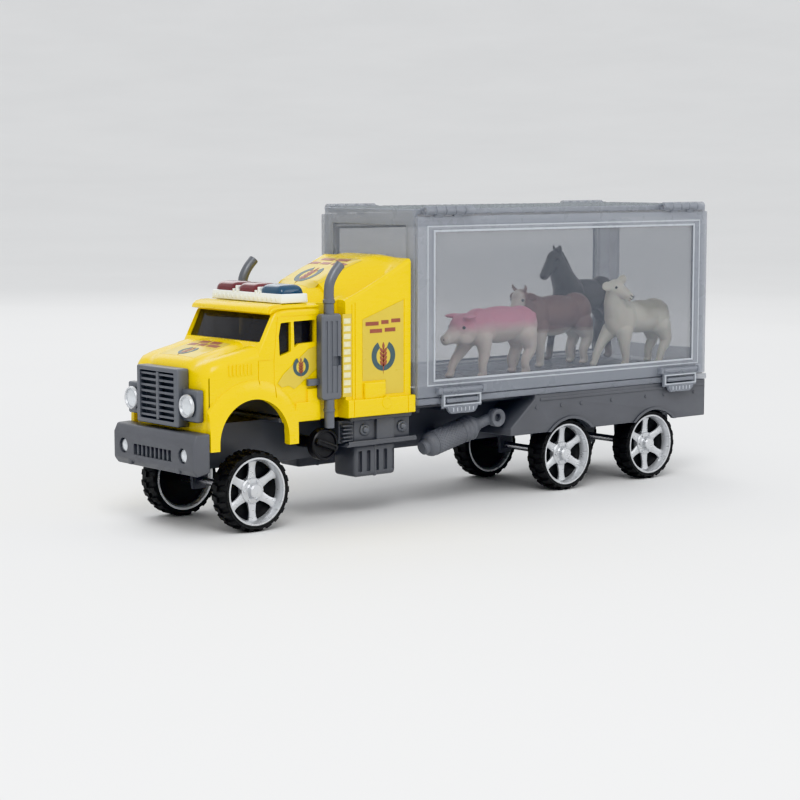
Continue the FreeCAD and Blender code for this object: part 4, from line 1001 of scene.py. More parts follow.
case_low, case_high = corners("case_body")
door_low, door_high = corners("case_door_right")
CASE_HALF = 30.0
CASE_TOP = 124.5
FLOOR_TOP = corners("sheep")[0].z
DOOR_Z0, DOOR_Z1 = door_low.z, 121.6
HINGE_Y, HINGE_Z = next((abs(j["pos_m"][1]) / MM, j["pos_m"][2] / MM) for j in frame["joints"]
                        if j["name"] == "door_left_lift")
HINGES = (-17.0, 124.0)
LATCHES = {end: sum(corners(f"latch_{end}_right"), Vector()).x / 2 for end in ("front", "rear")}
LATCH_Y, LATCH_Z = 34.1, 49.6


def bed_shape():
    low, high = corners("trailer_bed")
    front = 19.0
    bed = prism([(front, low.z), (front, low.z + 3.4), (front + 14, 42), (front + 14, high.z),
                 (high.x, high.z), (high.x, low.z)],
                low.y, high.y, 0.5)
    inside = prism([(front + 1.8, 10), (front + 1.8, low.z + 4), (front + 15, 41.4), (high.x - 1.8, 41.4),
                    (high.x - 1.8, 10)],
                   low.y + 1.7, high.y - 1.7)
    slot = block((front - 2, -12.1, 10), (front + 20, 12.1, 41.4), 0)
    tools = [inside, slot]
    for end in ("middle", "rear"):
        c = sum(corners(f"axle_{end}"), Vector()) / 2
        tools.append(lathe([(0, -40), (18, -40), (18, 40), (0, 40)], (c.x, 0, c.z - 2), "Y", 96))
    bed = bevel(boolean(bed, tools, "DIFFERENCE"), 0.2, 2, 40)
    tongue = block((low.x, -23.8, 41.6), (front + 15, 23.8, high.z), 0.5)
    details = []
    for _, side in SIDES:
        for end in ("middle", "rear"):
            c = sum(corners(f"axle_{end}"), Vector()) / 2
            lip = ring([(18.0, 0), (19.2, 0), (19.2, 0.25), (18.7, 0.5), (18.0, 0.5)], (c.x, 0, c.z - 2),
                       "Y", 96)
            lip.data.transform(Matrix.Translation((0, high.y - 0.1 if side == RIGHT else low.y - 0.4, 0)))
            cutter = block((c.x - 30, -40, -10), (c.x + 30, 40, low.z + 0.02), 0)
            details.append(boolean(lip, [cutter], "DIFFERENCE"))
        for x in (49, 61, 102, 114, 34, 80, 134):
            details.append(lathe([(0, 0), (0.9, 0), (0.75, 0.4), (0, 0.55)],
                                 (x, side * (high.y - 0.05), 38.4), steps=24,
                                 turn=AXIS_TURN["Y"] if side == RIGHT
                                 else Matrix(((1, 0, 0), (0, 0, -1), (0, 1, 0)))))
        details.append(side_block(side, front + 17, high.x - 1, high.y - 0.2, high.y + 0.35, 41.0, 42.4,
                                  0.25))
        details.append(side_block(side, high.x - 1.5, high.x + 0.2, 6, 27, 30, 36, 0.3))
    cross = [block((x, -22, 39.6), (x + 2.4, 22, 41.8), 0.4) for x in (-26, -12, 2)]
    return weld("bed", [bed, tongue] + details + cross)


place(bed_shape(), "bed_skirted", "truck", chassis_grey, ["trailer_bed"], 30)


def frame_ring(axis, at, thick, outer, inner, round_by=0.35):
    """Rectangular frame in the plane across an axis. outer and inner are (a0, a1, z0, z1)."""
    def slab(rect, t0, t1, r):
        a0, a1, z0, z1 = rect
        return block((t0, a0, z0), (t1, a1, z1), r) if axis == "X" else block((a0, t0, z0), (a1, t1, z1), r)
    whole = slab(outer, at, at + thick, 0)
    return bevel(boolean(whole, [slab(inner, at - 1, at + thick + 1, 0)], "DIFFERENCE"), round_by, 3, 40)


def case_frame():
    """Frosted members: floor tray, sills, lugs, end frames, roof rails and fixed hinge knuckles."""
    x0, x1, z0 = case_low.x, case_high.x, case_low.z
    tray = boolean(block((x0, -CASE_HALF, z0), (x1, CASE_HALF, FLOOR_TOP), 0.5),
                   [block((x0 + 1.6, -CASE_HALF + 1.6, z0 - 1),
                          (x1 - 1.6, CASE_HALF - 1.6, FLOOR_TOP - 1.6), 0)], "DIFFERENCE")
    sills = [side_block(side, x0, x1, CASE_HALF - 1, 32.5, z0, 46.6, 0.4) for _, side in SIDES]
    frame_piece = boolean(tray, sills, "UNION")
    ends = [frame_ring("X", x0, 1.9, (-CASE_HALF, CASE_HALF, FLOOR_TOP - 1, CASE_TOP),
                       (-24.5, 24.5, 58, 118)),
            frame_ring("X", x1 - 1.9, 1.9, (-CASE_HALF, CASE_HALF, FLOOR_TOP - 1, CASE_TOP),
                       (-24.5, 24.5, 58, 118))]
    rails = [side_block(side, x0 + 0.2, x1 - 0.2, 26.6, CASE_HALF, CASE_TOP - 2.2, CASE_TOP + 0.1, 0.5)
             for _, side in SIDES]
    frame_piece = boolean(frame_piece, ends + rails, "UNION")
    pieces = [frame_piece]
    for _, side in SIDES:
        pieces += [side_block(side, x - 8.6, x + 8.6, 32.2, 34.95, 44.4, 46.15, 0.3)
                   for x in LATCHES.values()]
        for hinge in HINGES:
            for i in (-2, 0, 2):
                start = hinge + i * 5.3 - 2.5
                profile = [(0.82, 0), (1.7, 0), (1.98, 0.3), (1.98, 4.7), (1.7, 5.0), (0.82, 5.0)]
                pieces.append(ring(profile, (start, side * HINGE_Y, HINGE_Z), "X", 48))
                pieces.append(side_block(side, start + 0.2, start + 4.8, CASE_HALF - 1.0, HINGE_Y - 1.2,
                                         CASE_TOP - 1.8,
                                         HINGE_Z + 1.2, 0.3))
    return weld("case_frame", pieces)


def case_panels():
    """Clear end panels of the case."""
    x0, x1 = case_low.x, case_high.x
    return weld("case_panels",
                [block((x, -24.6, 57.9), (x + 1.1, 24.6, 118.1), 0.15) for x in (x0 + 0.4, x1 - 1.5)])


def case_roof():
    """Roof sheet with cross ribs."""
    x0, x1 = case_low.x, case_high.x
    y0, y1, pitch = -26.8, 26.8, 4.4
    outline = []
    x = x0 + 3.0
    outline.append((x0 + 1.6, CASE_TOP - 0.5))
    while x + 1.2 < x1 - 2.4:
        outline += [(x, CASE_TOP - 0.5), (x + 0.3, CASE_TOP + 0.55), (x + 0.9, CASE_TOP + 0.55),
                    (x + 1.2, CASE_TOP - 0.5)]
        x += pitch
    outline += [(x1 - 1.6, CASE_TOP - 0.5), (x1 - 1.6, CASE_TOP - 1.6), (x0 + 1.6, CASE_TOP - 1.6)]
    return prism(outline, y0, y1)


place(case_frame(), "case_frame", "truck", frosted, ["case_body"])
place(case_panels(), "case_clear_panels", "truck", clear_panel)
place(case_roof(), "case_ribbed_roof", "truck", ribbed_roof)
for name, side in SIDES:
    pins = []
    for hinge in HINGES:
        pins.append(lathe([(0, -13), (0.6, -13), (0.78, -12.8), (0.78, 12.8), (0.6, 13), (0, 13)],
                          (hinge, side * HINGE_Y, HINGE_Z), "X", 32))
    place(weld("pins", pins), f"hinge_pins_{name}_steel", "truck", steel,
          [f"hinge_pins_{name}"])


def door_frame(side):
    """Frosted frame of a side door: stiles, rails, hinge knuckles and latch ears."""
    x0, x1 = door_low.x, door_high.x
    y0 = 30.2 if side == RIGHT else -32.4
    outer = (x0, x1, DOOR_Z0, DOOR_Z1)
    inner = (x0 + 8.6, x1 - 8.6, DOOR_Z0 + 6.4, DOOR_Z1 - 5.6)
    pieces = [frame_ring("Y", y0, 2.2, outer, inner, 0.4)]
    for hinge in HINGES:
        for i in (-1, 1):
            start = hinge + i * 5.3 - 2.5
            profile = [(0.88, 0), (1.7, 0), (1.98, 0.3), (1.98, 4.7), (1.7, 5.0), (0.88, 5.0)]
            pieces.append(ring(profile, (start, side * HINGE_Y, HINGE_Z), "X", 48))
            pieces.append(side_block(side, start + 0.2, start + 4.8, 31.0, 32.6, DOOR_Z1 - 0.6,
                                     HINGE_Z - 1.2, 0.25))
    for x in LATCHES.values():
        for q in (-1, 1):
            centre = x + q * 12.2
            ear = side_prism(side,
                             [(centre - 0.9, LATCH_Z - 1.4), (centre - 0.9, LATCH_Z + 1.4),
                              (centre + 0.9, LATCH_Z + 1.4),
                                    (centre + 0.9, LATCH_Z - 1.4)], 32.2, LATCH_Y + 1.15, 0.35)
            pieces.append(ear)
    return weld("door_frame", pieces)


def door_beads(side):
    """Two raised lines that run round the door's window."""
    x0, x1 = door_low.x + 8.6, door_high.x - 8.6
    z0, z1 = DOOR_Z0 + 6.4, DOOR_Z1 - 5.6
    bead_y = 32.15 if side == RIGHT else -32.5
    beads = []
    for grow, wide in ((3.6, 0.6), (0.1, 0.9)):
        a = (x0 - grow, x1 + grow, z0 - grow * 0.5, z1 + grow * 0.5)
        b = (a[0] + wide, a[1] - wide, a[2] + wide, a[3] - wide)
        beads.append(frame_ring("Y", bead_y, 0.35, a, b, 0.12))
    return weld("door_beads", beads)


def door_panel(side):
    """Clear sheet held in the frame."""
    x0, x1 = door_low.x + 8.4, door_high.x - 8.4
    return side_block(side, x0, x1, 30.5, 31.4, DOOR_Z0 + 6.2, DOOR_Z1 - 5.4, 0.2)


def latch_shape(x, side):
    """Snap latch: slim barrel, thin jambs round a wide window, and a broad thumb tongue with cut corners."""
    half = 10.9
    plate = boolean(side_block(side, x - half, x + half, LATCH_Y - 0.85, LATCH_Y + 0.28, 42.2, LATCH_Z, 0),
                    [side_block(side, x - 9.3, x + 9.3, 30, 37, 43.8, 46.9, 0)], "DIFFERENCE")
    plate = bevel(plate, 0.22, 3, 40)
    tongue = side_prism(side,
                        [(x - 8.4, 42.9), (x + 8.4, 42.9), (x + 8.0, 41.2), (x + 6.2, 39.7),
                         (x - 6.2, 39.7), (x - 8.0, 41.2)],
                        LATCH_Y - 0.8, LATCH_Y + 0.95, 0.3)
    barrel = lathe([(0, -half), (0.9, -half), (1.15, -half + 0.3), (1.15, half - 0.3), (0.9, half),
                    (0, half)],
                   (x, side * LATCH_Y, LATCH_Z), "X", 40)
    trunnion = lathe([(0, -12.8), (0.66, -12.8), (0.66, 12.8), (0, 12.8)], (x, side * LATCH_Y, LATCH_Z),
                     "X", 28)
    return weld("latch", [plate, tongue, barrel, trunnion])


def latch_edges(x, side):
    """Raised rim round the latch's window, and its grip lines."""
    rim = frame_ring("Y", LATCH_Y + 0.2 if side == RIGHT
                     else -LATCH_Y - 0.75, 0.55, (x - 10.4, x + 10.4, 43.0, 47.7),
                     (x - 9.6, x + 9.6, 43.6, 47.1), 0.15)
    grips = [side_block(side, x - 5.6 + 2.2 * k, x - 5.1 + 2.2 * k, LATCH_Y + 0.85, LATCH_Y + 1.1, 40.6,
                        42.2, 0.08) for k in range(6)]
    return weld("latch_edges", [rim] + grips)


for name, side in SIDES:
    place(door_frame(side), f"door_{name}_frame", f"door_{name}", frosted,
          [f"case_door_{name}"])
    place(door_panel(side), f"door_{name}_panel", f"door_{name}", clear_panel)
    # The raised door beads take the paler frosted copy, a painted highlight on those lines.
    place(door_beads(side), f"door_{name}_beads", f"door_{name}", painted_highlight_frost)
    for end, x in LATCHES.items():
        place(latch_shape(x, side), f"latch_{end}_{name}_snap", f"latch_{end}_{name}_body",
              frosted,
              [f"latch_{end}_{name}"])
        # The latch rim and grip lines take the paler frosted copy, a painted highlight on those edges.
        place(latch_edges(x, side), f"latch_{end}_{name}_edges", f"latch_{end}_{name}_body",
              painted_highlight_frost)


# ---------------------------------------------------------------- inside the cab

def tub():
    """Cab floor, dash with a binnacle, two bucket seats with piped edges and the sleeper's bulkhead."""
    low, high = corners("cab_interior")
    floor = block((low.x, low.y + 0.2, low.z), (DOOR_REAR - 1.9, high.y - 0.2, low.z + 2), 0.4)
    back = block((DOOR_REAR - 2, -22.2, low.z), (high.x, 22.2, low.z + 2), 0.4)
    wall = block((DOOR_REAR + 3, -22.2, low.z + 1), (DOOR_REAR + 5, 22.2, 83.8), 0.4)
    dash = prism([(low.x + 0.2, 44), (low.x + 0.2, 66), (low.x + 2.5, 67.4), (low.x + 5.2, 65.6),
                  (low.x + 5.4, 60), (low.x + 3.6, 56),
                  (low.x + 3.6, 44)], -24, 24, 0.8)
    binnacle = block((low.x + 3.6, -16.4, 63.6), (low.x + 7.0, -6.6, 67.6), 1.0)
    seats = []
    for _, side in SIDES:
        seats.append(side_block(side, -94, -82.8, 3, 20, 50.4, 55.2, 1.8))
        seats.append(side_block(side, -93, -83, 6, 17, 43, 50.8, 0.6))
        rest = side_block(side, -84.6, -80.6, 3.4, 19.6, 53.6, 73.6, 1.6)
        seats += [rest, side_block(side, -85.4, -84.2, 6.4, 16.6, 56, 71, 0.5),
                  side_block(side, -84.2, -81, 7, 16, 72.4, 78.4, 1.4)]
    return weld("tub", [floor, back, wall, dash, binnacle] + seats)


def steering_wheel():
    low, high = corners("steering_wheel")
    centre = (low + high) / 2
    x, r = high.x - 1.3, (high.y - low.y) / 2 - 0.65
    rim = ring([(r + 0.6 * math.cos(math.tau * k / 12), 0.6 * math.sin(math.tau * k / 12))
                for k in range(12)],
               (x, centre.y, centre.z), "X", 48)
    spokes = [tube([(x - 0.5, centre.y, centre.z),
                    (x, centre.y + r * math.sin(a), centre.z + r * math.cos(a))], 0.5, 12)
              for a in (math.tau * k / 3 for k in (0.5, 1.25, 1.75))]
    column = tube([(low.x, centre.y, centre.z), (x - 0.4, centre.y, centre.z)], 0.9, 20)
    boss = lathe([(0, -1), (1.5, -0.8), (1.5, 0.3), (0.9, 0.7), (0, 0.8)], (x, centre.y, centre.z), "X", 32)
    return weld("wheel", [rim, column, boss] + spokes)


def glazing():
    """Smoked panes behind the side windows and the windscreen, gently rounded at their edges."""
    panes = [side_block(side, -100.6, -82.4, CAB_HALF - 2.3, CAB_HALF - 1.75, 67.4, 83.2, 0.2)
             for _, side in SIDES]
    screen = prism([(-107.4, 71.8), (-101.3, 84.3), (-100.7, 84.3), (-106.8, 71.8)], -25.2, 25.2, 0.15)
    return weld("panes", panes + [screen])


place(tub(), "cab_tub", "truck", chassis_grey, ["cab_interior"])
place(steering_wheel(), "steering_wheel_ring", "truck", black, ["steering_wheel"])
place(glazing(), "cab_panes", "truck", smoked, ["cab_glazing"])


# ---------------------------------------------------------------- printed labels

def horseshoe(x, z, size, turn=0.0):
    """Open arch outline, wider at its crown, as (x, z) points."""
    outer = [(size * math.cos(a), size * math.sin(a))
             for a in (math.radians(-62 + 304 * k / 40) for k in range(41))]
    inner = [(0.62 * size * math.cos(a) * 0.95, 0.62 * size * math.sin(a) + 0.04 * size)
             for a in (math.radians(242 - 304 * k / 40) for k in range(41))]
    c, s = math.cos(turn), math.sin(turn)
    return [(x + a * c - b * s, z + a * s + b * c) for a, b in outer + inner]


def leaf(x, z, length, width, angle):
    """Pointed leaf outline that starts at (x, z) and runs at an angle in degrees."""
    a = math.radians(angle)
    points = []
    for k in range(17):
        u = k / 16
        points.append((u * length, width / 2 * math.sin(math.pi * u) ** 0.9))
    for k in range(15, 0, -1):
        u = k / 16
        points.append((u * length, -width / 2 * math.sin(math.pi * u) ** 0.9))
    return [(x + px * math.cos(a) - py * math.sin(a), z + px * math.sin(a) + py * math.cos(a))
            for px, py in points]


def wheat(x, z, size):
    """Ear of wheat: paired leaves up a stem, as a list of outlines."""
    shapes = [leaf(x, z - 0.2 * size, 1.5 * size, 0.09 * size, 90)]
    for k in range(4):
        height = z + (0.25 + 0.24 * k) * size
        shapes += [leaf(x, height, 0.42 * size, 0.17 * size, 90 + q * 38) for q in (-1, 1)]
    return shapes + [leaf(x, z + 1.15 * size, 0.45 * size, 0.17 * size, 90)]


def print_ink(name, color):
    m = Nodes(name, 0.42, Coat_Weight=0.15)
    m.color(m.ramp(m.noise(900.0, 3.0), [(0.3, shift(color, 0.9)), (0.7, shift(color, 1.1))]))
    m.bump(m.noise(3000.0), 0.00001, 0.4)
    return m.material


film = plastic("label_film", srgb(212, 188, 74), 0.34, grain=0.000008, flow=0.06, Coat_Weight=0.2)
teal_ink = print_ink("teal_ink", srgb(70, 92, 98))
russet_ink = print_ink("russet_ink", srgb(150, 84, 66))
pale_ink = print_ink("pale_ink", srgb(222, 216, 178))


def label_art(x, z, size):
    """Generic farm emblem round (x, z): an open horseshoe in teal with a russet ear of wheat in it."""
    return {"teal": [horseshoe(x, z, size, math.pi)], "russet": wheat(x, z - size, 1.18 * size)}


def bar(x0, x1, z0, z1):
    return [(x0, z0), (x0, z1), (x1, z1), (x1, z0)]


def side_labels(name, side):
    """Films with generic art on the sleeper, the door and the pillar behind the stack."""
    thick, printed = 0.12, 0.06
    sleeper = SLEEPER_HALF - 0.3
    panel = [(-60.2, 55.8), (-60.2, 80.6), (-38.6, 87.9), (-38.6, 49.8), (-48.2, 49.8), (-48.2, 55.8)]
    door = [(-101.0, 57.4), (-98.2, 60.8), (-86.0, 70.0), (-81.0, 71.6), (-81.0, 62.6), (-92.8, 54.6),
            (-95.6, 56.2), (-99.0, 55.6)]
    pieces = {"film": [side_prism(side, panel, sleeper, sleeper + thick),
                       side_prism(side, bar(-70.6, -65.9, 50, 83.4), SLEEPER_HALF, SLEEPER_HALF + thick),
                       side_prism(side, door, CAB_HALF, CAB_HALF + thick)],
              "teal": [], "russet": [], "pale": []}
    for face, x, z, size in ((sleeper, -49.3, 65.6, 6.2), (CAB_HALF, -89.6, 63.4, 3.9)):
        art = label_art(x, z, size)
        for k, ink in enumerate(("teal", "russet")):
            start = face + thick + 0.01 * k
            pieces[ink] += [side_prism(side, outline, start, start + printed) for outline in art[ink]]
    words = ((-58.6, -51.8, 78.0, 79.6), (-50.4, -46.6, 78.4, 80.0), (-45.2, -40.4, 78.8, 80.4),
             (-56.4, -50.0, 75.0, 76.6),
             (-48.6, -43.0, 75.2, 76.8))
    pieces["russet"] += [side_prism(side, bar(*word), sleeper + thick, sleeper + thick + printed)
                         for word in words]
    pieces["pale"] += [side_prism(side, bar(-70.0, -66.6, 51.6 + 3.1 * k, 53.7 + 3.1 * k),
                                  SLEEPER_HALF + thick,
                                  SLEEPER_HALF + thick + printed) for k in range(10)]
    nodes = [f"label_{part}_{name}" for part in ("sleeper", "strip", "door")]
    for key, material in (("film", film), ("teal", teal_ink), ("russet", russet_ink), ("pale", pale_ink)):
        place(weld(key, pieces[key]), f"labels_{name}_{key}", "truck", material,
              nodes if key == "film" else ())


def drape(outline, tree, lift, cell=1.2):
    """Thin patch laid on top of the cab. outline holds (x, y) points; lift is its height over the plastic."""
    mesh = bmesh.new()
    mesh.faces.new([mesh.verts.new((x, y, 0)) for x, y in outline])
    for axis in (0, 1):
        values = [p[axis] for p in outline]
        for k in range(int(min(values) / cell), int(max(values) / cell) + 1):
            point, normal = [0, 0, 0], [0, 0, 0]
            point[axis], normal[axis] = k * cell, 1
            bmesh.ops.bisect_plane(mesh, geom=mesh.verts[:] + mesh.edges[:] + mesh.faces[:], plane_co=point,
                                   plane_no=normal)
    for vert in mesh.verts:
        vert.co.z = tree.ray_cast(Vector((vert.co.x, vert.co.y, 200)), Vector((0, 0, -1)))[0].z + lift
    bmesh.ops.recalc_face_normals(mesh, faces=mesh.faces)
    data = bpy.data.meshes.new("patch")
    mesh.to_mesh(data)
    mesh.free()
    patch = bpy.data.objects.new("patch", data)
    bpy.context.scene.collection.objects.link(patch)
    thicken = patch.modifiers.new("thicken", "SOLIDIFY")
    thicken.thickness = 0.1
    thicken.offset = 0
    return settle(patch)


def top_labels():
    """The same art on the roof fairing and on the hood, read from the front."""
    tree = surface_of(bpy.data.objects["cab_moulding"])
    pieces = {"film": [], "teal": [], "russet": []}
    for x, size, film_shape, words in (
            (-64.8, 6.2,
             [(-73, -10.5), (-73, 10.5), (-69, 13.5), (-47.6, 13.5), (-47.6, -13.5), (-69, -13.5)],
             ((-56.4, -12, -3.4), (-56.4, -1.8, 4), (-56.4, 5.6, 12), (-52, -9, -1), (-52, 0.8, 9))),
            (-124.6, 4.2, [(-130, -12), (-130, 12), (-112.5, 12), (-112.5, -12)],
             ((-118.4, -10, -3), (-118.4, -1.4, 3.4), (-118.4, 5, 10), (-115.2, -7, -1),
              (-115.2, 0.8, 7)))):
        pieces["film"].append(drape(film_shape, tree, 0.05))
        art = label_art(0, 0, size)
        for k, ink in enumerate(("teal", "russet")):
            pieces[ink] += [drape([(x + v, -u) for u, v in outline], tree, 0.14 + 0.02 * k, 0.9)
                            for outline in art[ink]]
        pieces["russet"] += [drape([(at, y0), (at, y1), (at + 2.4, y1), (at + 2.4, y0)], tree, 0.14)
                             for at, y0, y1 in words]
    for key, material in (("film", film), ("teal", teal_ink), ("russet", russet_ink)):
        place(weld(key, pieces[key]), f"labels_top_{key}", "truck", material)


for name, side in SIDES:
    side_labels(name, side)
top_labels()


# ---------------------------------------------------------------- animals

def ellipsoid(centre, radii, tilt=(0, 0, 0)):
    turn = Matrix.Rotation(math.radians(tilt[2]), 4, "Z") @ Matrix.Rotation(math.radians(tilt[1]), 4, "Y") \
        @ Matrix.Rotation(math.radians(tilt[0]), 4, "X")
    return ball(Matrix.Translation(centre) @ turn @ Matrix.Diagonal((*radii, 1)))


def ball(shape):
    """Unit sphere under a shaping matrix."""
    mesh = bmesh.new()
    bmesh.ops.create_icosphere(mesh, subdivisions=4, radius=1.0, matrix=shape)
    data = bpy.data.meshes.new("ball")
    mesh.to_mesh(data)
    mesh.free()
    piece = bpy.data.objects.new("ball", data)
    bpy.context.scene.collection.objects.link(piece)
    return piece


def flap(base, tip, width, thick, facing):
    """Flat ear from base to tip; facing is the way its broad side looks."""
    base, tip, facing = Vector(base), Vector(tip), Vector(facing)
    x = (tip - base).normalized()
    z = (facing - x * x.dot(facing)).normalized()
    turn = Matrix((x, z.cross(x), z)).transposed().to_4x4()
    half = (tip - base).length / 2
    return ball(Matrix.Translation((base + tip) / 2) @ turn @ Matrix.Diagonal((half, width / 2, thick / 2,
                                                                               1)))


def limb(*points):
    """Tapered limb through (x, y, z, radius) points, with rounded ends."""
    path = curve_points([p[:3] for p in points], 18)
    spans = len(points) - 1
    radii = []
    for k in range(18):
        u = k * spans / 17
        i = min(int(u), spans - 1)
        radii.append(points[i][3] + (points[i + 1][3] - points[i][3]) * (u - i))
    ends = [ellipsoid(path[i], (radii[i],) * 3) for i in (0, -1)]
    return weld("limb", [tube(path, radii, 20)] + ends)


def leg(hip, knee, hock, foot, hoof=2.1):
    """Leg through four (x, y, z, radius) points, down to a hoof that points forwards."""
    toe = ellipsoid((foot[0] - 0.7, foot[1], 1.25), (hoof + 0.2, hoof * 0.82, 1.25))
    return weld("leg", [limb(hip, knee, hock, foot), toe])


def sculpt(pieces, voxel=0.4, smooth=5, weight=0.5):
    """Fuses overlapping forms into one soft skin."""
    body = weld("body", pieces)
    remesh = body.modifiers.new("remesh", "REMESH")
    remesh.mode = "VOXEL"
    remesh.voxel_size = voxel
    settle(body)
    relax = body.modifiers.new("relax", "SMOOTH")
    relax.iterations = smooth
    relax.factor = weight
    return settle(body)


def on_skin(tree, start, inwards):
    """Where a ray from outside, along inwards, meets a skin."""
    inwards = Vector(inwards).normalized()
    return tree.ray_cast(Vector(start) - inwards * 12, inwards)[0]


def painted_details(animal, body, eyes, eye_radius, marks=()):
    """Eyes and painted lines on the skin. An eye is (start, inwards), a mark a list of such pairs."""
    tree = surface_of(body)
    pieces = []
    for start, inwards in eyes:
        spot = on_skin(tree, start, inwards)
        pieces.append(ellipsoid(spot, (eye_radius,) * 3))
    for mark in marks:
        line = [on_skin(tree, start, inwards) for start, inwards in mark]
        pieces.append(tube(curve_points(line, 14), 0.22, 8))
    place(weld("details", pieces), f"{animal}_eyes_and_mouth", "truck", eye_black, (), 180)


def stand(node, shift_x):
    """Where an animal stands: the middle of its CAD box on the case's floor, moved along by shift_x."""
    low, high = corners(node)
    return Vector(((low.x + high.x) / 2 + shift_x, (low.y + high.y) / 2, FLOOR_TOP))


def move(pieces, offset):
    for piece in pieces:
        piece.data.transform(Matrix.Translation(offset))
    return pieces


def skin(name, base, accent, accent_mask, roughness=0.48):
    """Painted soft vinyl: base colour with a sprayed accent whose edge is soft and speckled."""
    m = Nodes(name, roughness, Subsurface_Weight=0.12, Subsurface_Scale=0.0015)
    edge = m.math("ADD", accent_mask(m), m.rescale(m.noise(700.0, 4.0), -0.1, 0.1))
    edge = m.math("ADD", edge, m.rescale(m.noise(90.0, 2.0), -0.22, 0.22))
    soft = m.rescale(edge, 0.0, 1.0, 0.25, 0.75)
    mottled = m.ramp(m.noise(60.0, 4.0), [(0.3, shift(base, 0.93)), (0.7, shift(base, 1.05))])
    m.color(m.mix(soft, mottled, accent))
    m.bump(m.noise(380.0, 5.0), 0.0002, 0.5)
    m.bump(m.noise(2400.0, 2.0), 0.00004, 0.5)
    return m.material


eye_black = plastic("eye_paint", srgb(24, 20, 18), 0.18, grain=0.000004, flow=0.1)


def pig():
    """Pink-backed pig that faces the cab, head low, one front leg stepping forwards."""
    c = stand("pig", 2)
    forms = [ellipsoid((3, 0, 22.8), (18, 8.0, 7.4)), ellipsoid((14.8, 0, 21.6), (8.4, 7.7, 8.4)),
             ellipsoid((-9, 0, 21.6), (8.6, 7.6, 8.2)), ellipsoid((2, 0, 20), (12, 6.2, 5.8)),
             ellipsoid((-17.6, 0, 21.4), (7.0, 5.9, 6.6), (0, -14, 0)),
             limb((-19.5, 0, 20.6, 4.8), (-24.4, 0, 18.4, 3.3), (-27.6, 0, 17.2, 2.5)),
             ellipsoid((-28.3, 0, 17.1), (0.8, 2.8, 2.5)),
             limb((21.6, 0, 26, 1.3), (24.4, 0.4, 25.6, 0.8), (25.0, 1.2, 23.4, 0.7),
                  (23.8, 0.6, 22.0, 0.6)),
             leg((-10, -3.9, 17.5, 4.2), (-9.6, -4.4, 11.0, 2.6), (-10.8, -4.5, 5.6, 1.9),
                 (-10.4, -4.5, 1.8, 1.7)),
             leg((-11, 3.9, 17.5, 4.2), (-15.4, 4.3, 11.4, 2.6), (-19.6, 4.4, 6.4, 1.9),
                 (-21.2, 4.4, 1.9, 1.6))]
    for q in (-1, 1):
        forms += [flap((-15.4, q * 3.6, 27.0), (-22.4, q * 7.0, 26.6), 5.6, 1.8, (-0.5, q * 0.2, 1)),
                  ellipsoid((-19, q * 2.8, 18.0), (4.4, 2.6, 3.4)),
                  leg((15.4, q * 3.8, 18, 4.9), (17.2, q * 4.4, 11.4, 2.8), (14.2, q * 4.5, 5.8, 1.9),
                      (15.2, q * 4.5, 1.8, 1.7))]
    body = sculpt(move(forms, c))
    material = skin("pig_paint", srgb(228, 214, 204), srgb(224, 152, 172),
                    lambda m: m.rescale(m.split()[2], 0.0, 1.0, (c.z + 17) * MM, (c.z + 27) * MM))
    place(body, "pig_sculpted", "truck", material, ["pig"], 180)
    eyes = [(c + Vector((-21.4, q * 4, 22.0)), (0.35, -q, -0.3)) for q in (-1, 1)]
    nostrils = [[(c + Vector((-28.4, q * 1.0, 16.8 + dz)), (1, 0, 0)) for dz in (0, 0.3, 0.7)]
                for q in (-1, 1)]
    painted_details("pig", body, eyes, 0.7, nostrils)


